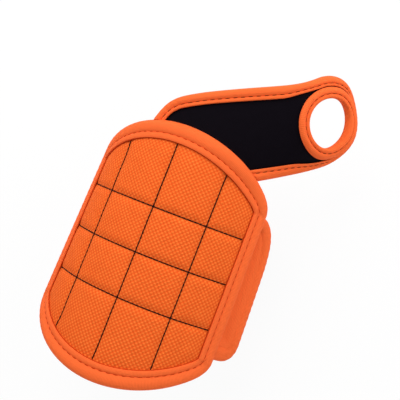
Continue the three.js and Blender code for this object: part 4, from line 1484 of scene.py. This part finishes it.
class WRISTBAND_OT_stage(bpy.types.Operator):
    """Pale floor, soft light and the camera"""

    bl_idname = "wristband.stage"
    bl_label = "Stage"

    def execute(self, context):
        scene = context.scene
        scene.view_settings.view_transform = "Standard"
        self.floor(wristband(context).colours)
        self.world(scene)
        for lamp in LAMPS:
            self.lamp(*lamp)
        self.camera(scene)
        return {"FINISHED"}

    def floor(self, colours):
        mesh = bpy.data.meshes.new("floor")
        corners = rectangle((-FLOOR_HALF, -FLOOR_HALF), (FLOOR_HALF, FLOOR_HALF))
        mesh.from_pydata([(x, y, 0) for x, y in corners], [], [(0, 1, 2, 3)])
        material = bpy.data.materials.new("pale_floor")
        material.use_nodes = True
        tree = material.node_tree
        nodes = Shade(tree)
        matte = nodes.node("ShaderNodeBsdfDiffuse", None, {"Color": linear(colours.floor)})
        glow = nodes.node("ShaderNodeEmission", None, {"Color": (1, 1, 1, 1), "Strength": 1.0})
        sockets = {0: shown_rays(nodes) * FLOOR_GLOW, 1: matte, 2: glow}
        both = nodes.node("ShaderNodeMixShader", None, sockets)
        tree.links.new(both.socket, tree.nodes["Material Output"].inputs["Surface"])
        mesh.materials.append(material)
        linked("floor", mesh)

    def world(self, scene):
        world = bpy.data.worlds.new("soft_studio")
        world.use_nodes = True
        tree = world.node_tree
        background = tree.nodes["Background"]
        background.inputs["Color"].default_value = (1, 1, 1, 1)
        strength = shown_rays(Shade(tree)) * (1 - WORLD_LIGHT) + WORLD_LIGHT
        tree.links.new(strength.socket, background.inputs["Strength"])
        scene.world = world

    def lamp(self, name, place, size, power):
        light = bpy.data.lights.new(name, "AREA")
        light.shape, light.size, light.energy = "DISK", size, power
        lamp = linked(name, light)
        lamp.location = place
        lamp.rotation_euler = (LAMP_TARGET - Vector(place)).to_track_quat("-Z", "Y").to_euler()

    def camera(self, scene):
        data = bpy.data.cameras.new("photo_camera")
        data.sensor_width, data.lens, data.clip_start = SENSOR, LENS, NEAR
        camera = linked("photo_camera", data)
        right = (CAMERA_RIGHT - CAMERA_BACK * CAMERA_RIGHT.dot(CAMERA_BACK)).normalized()
        turn = Matrix((right, CAMERA_BACK.cross(right), CAMERA_BACK)).transposed().to_4x4()
        camera.matrix_world = Matrix.Translation(CAMERA_PLACE) @ turn
        scene.camera = camera


OPERATORS = (
    WRISTBAND_OT_stage,
    WRISTBAND_OT_panel,
    WRISTBAND_OT_magnets,
    WRISTBAND_OT_tab,
    WRISTBAND_OT_band,
    WRISTBAND_OT_strap,
    WRISTBAND_OT_tapes,
    WRISTBAND_OT_quilting,
)


class WRISTBAND_PT_pieces(bpy.types.Panel):
    """Lists the pieces of the wristband"""

    bl_label = "Wristband"
    bl_idname = "WRISTBAND_PT_pieces"
    bl_space_type = "VIEW_3D"
    bl_region_type = "UI"
    bl_category = "Wristband"

    def draw(self, context):
        for operator in OPERATORS:
            self.layout.operator(operator.bl_idname)


GROUPS = (FormSizes, PanelSizes, ClosingSizes, StrapSizes, SewingSizes, Colours, WristbandSettings)
CLASSES = (*GROUPS, *OPERATORS, WRISTBAND_PT_pieces)


def register():
    for cls in CLASSES:
        bpy.utils.register_class(cls)
    bpy.types.Scene.wristband = PointerProperty(type=WristbandSettings)


def unregister():
    del bpy.types.Scene.wristband
    for cls in reversed(CLASSES):
        bpy.utils.unregister_class(cls)


def main():
    register()
    for operator in OPERATORS:
        group, name = operator.bl_idname.split(".")
        getattr(getattr(bpy.ops, group), name)()


if __name__ == "__main__":
    main()
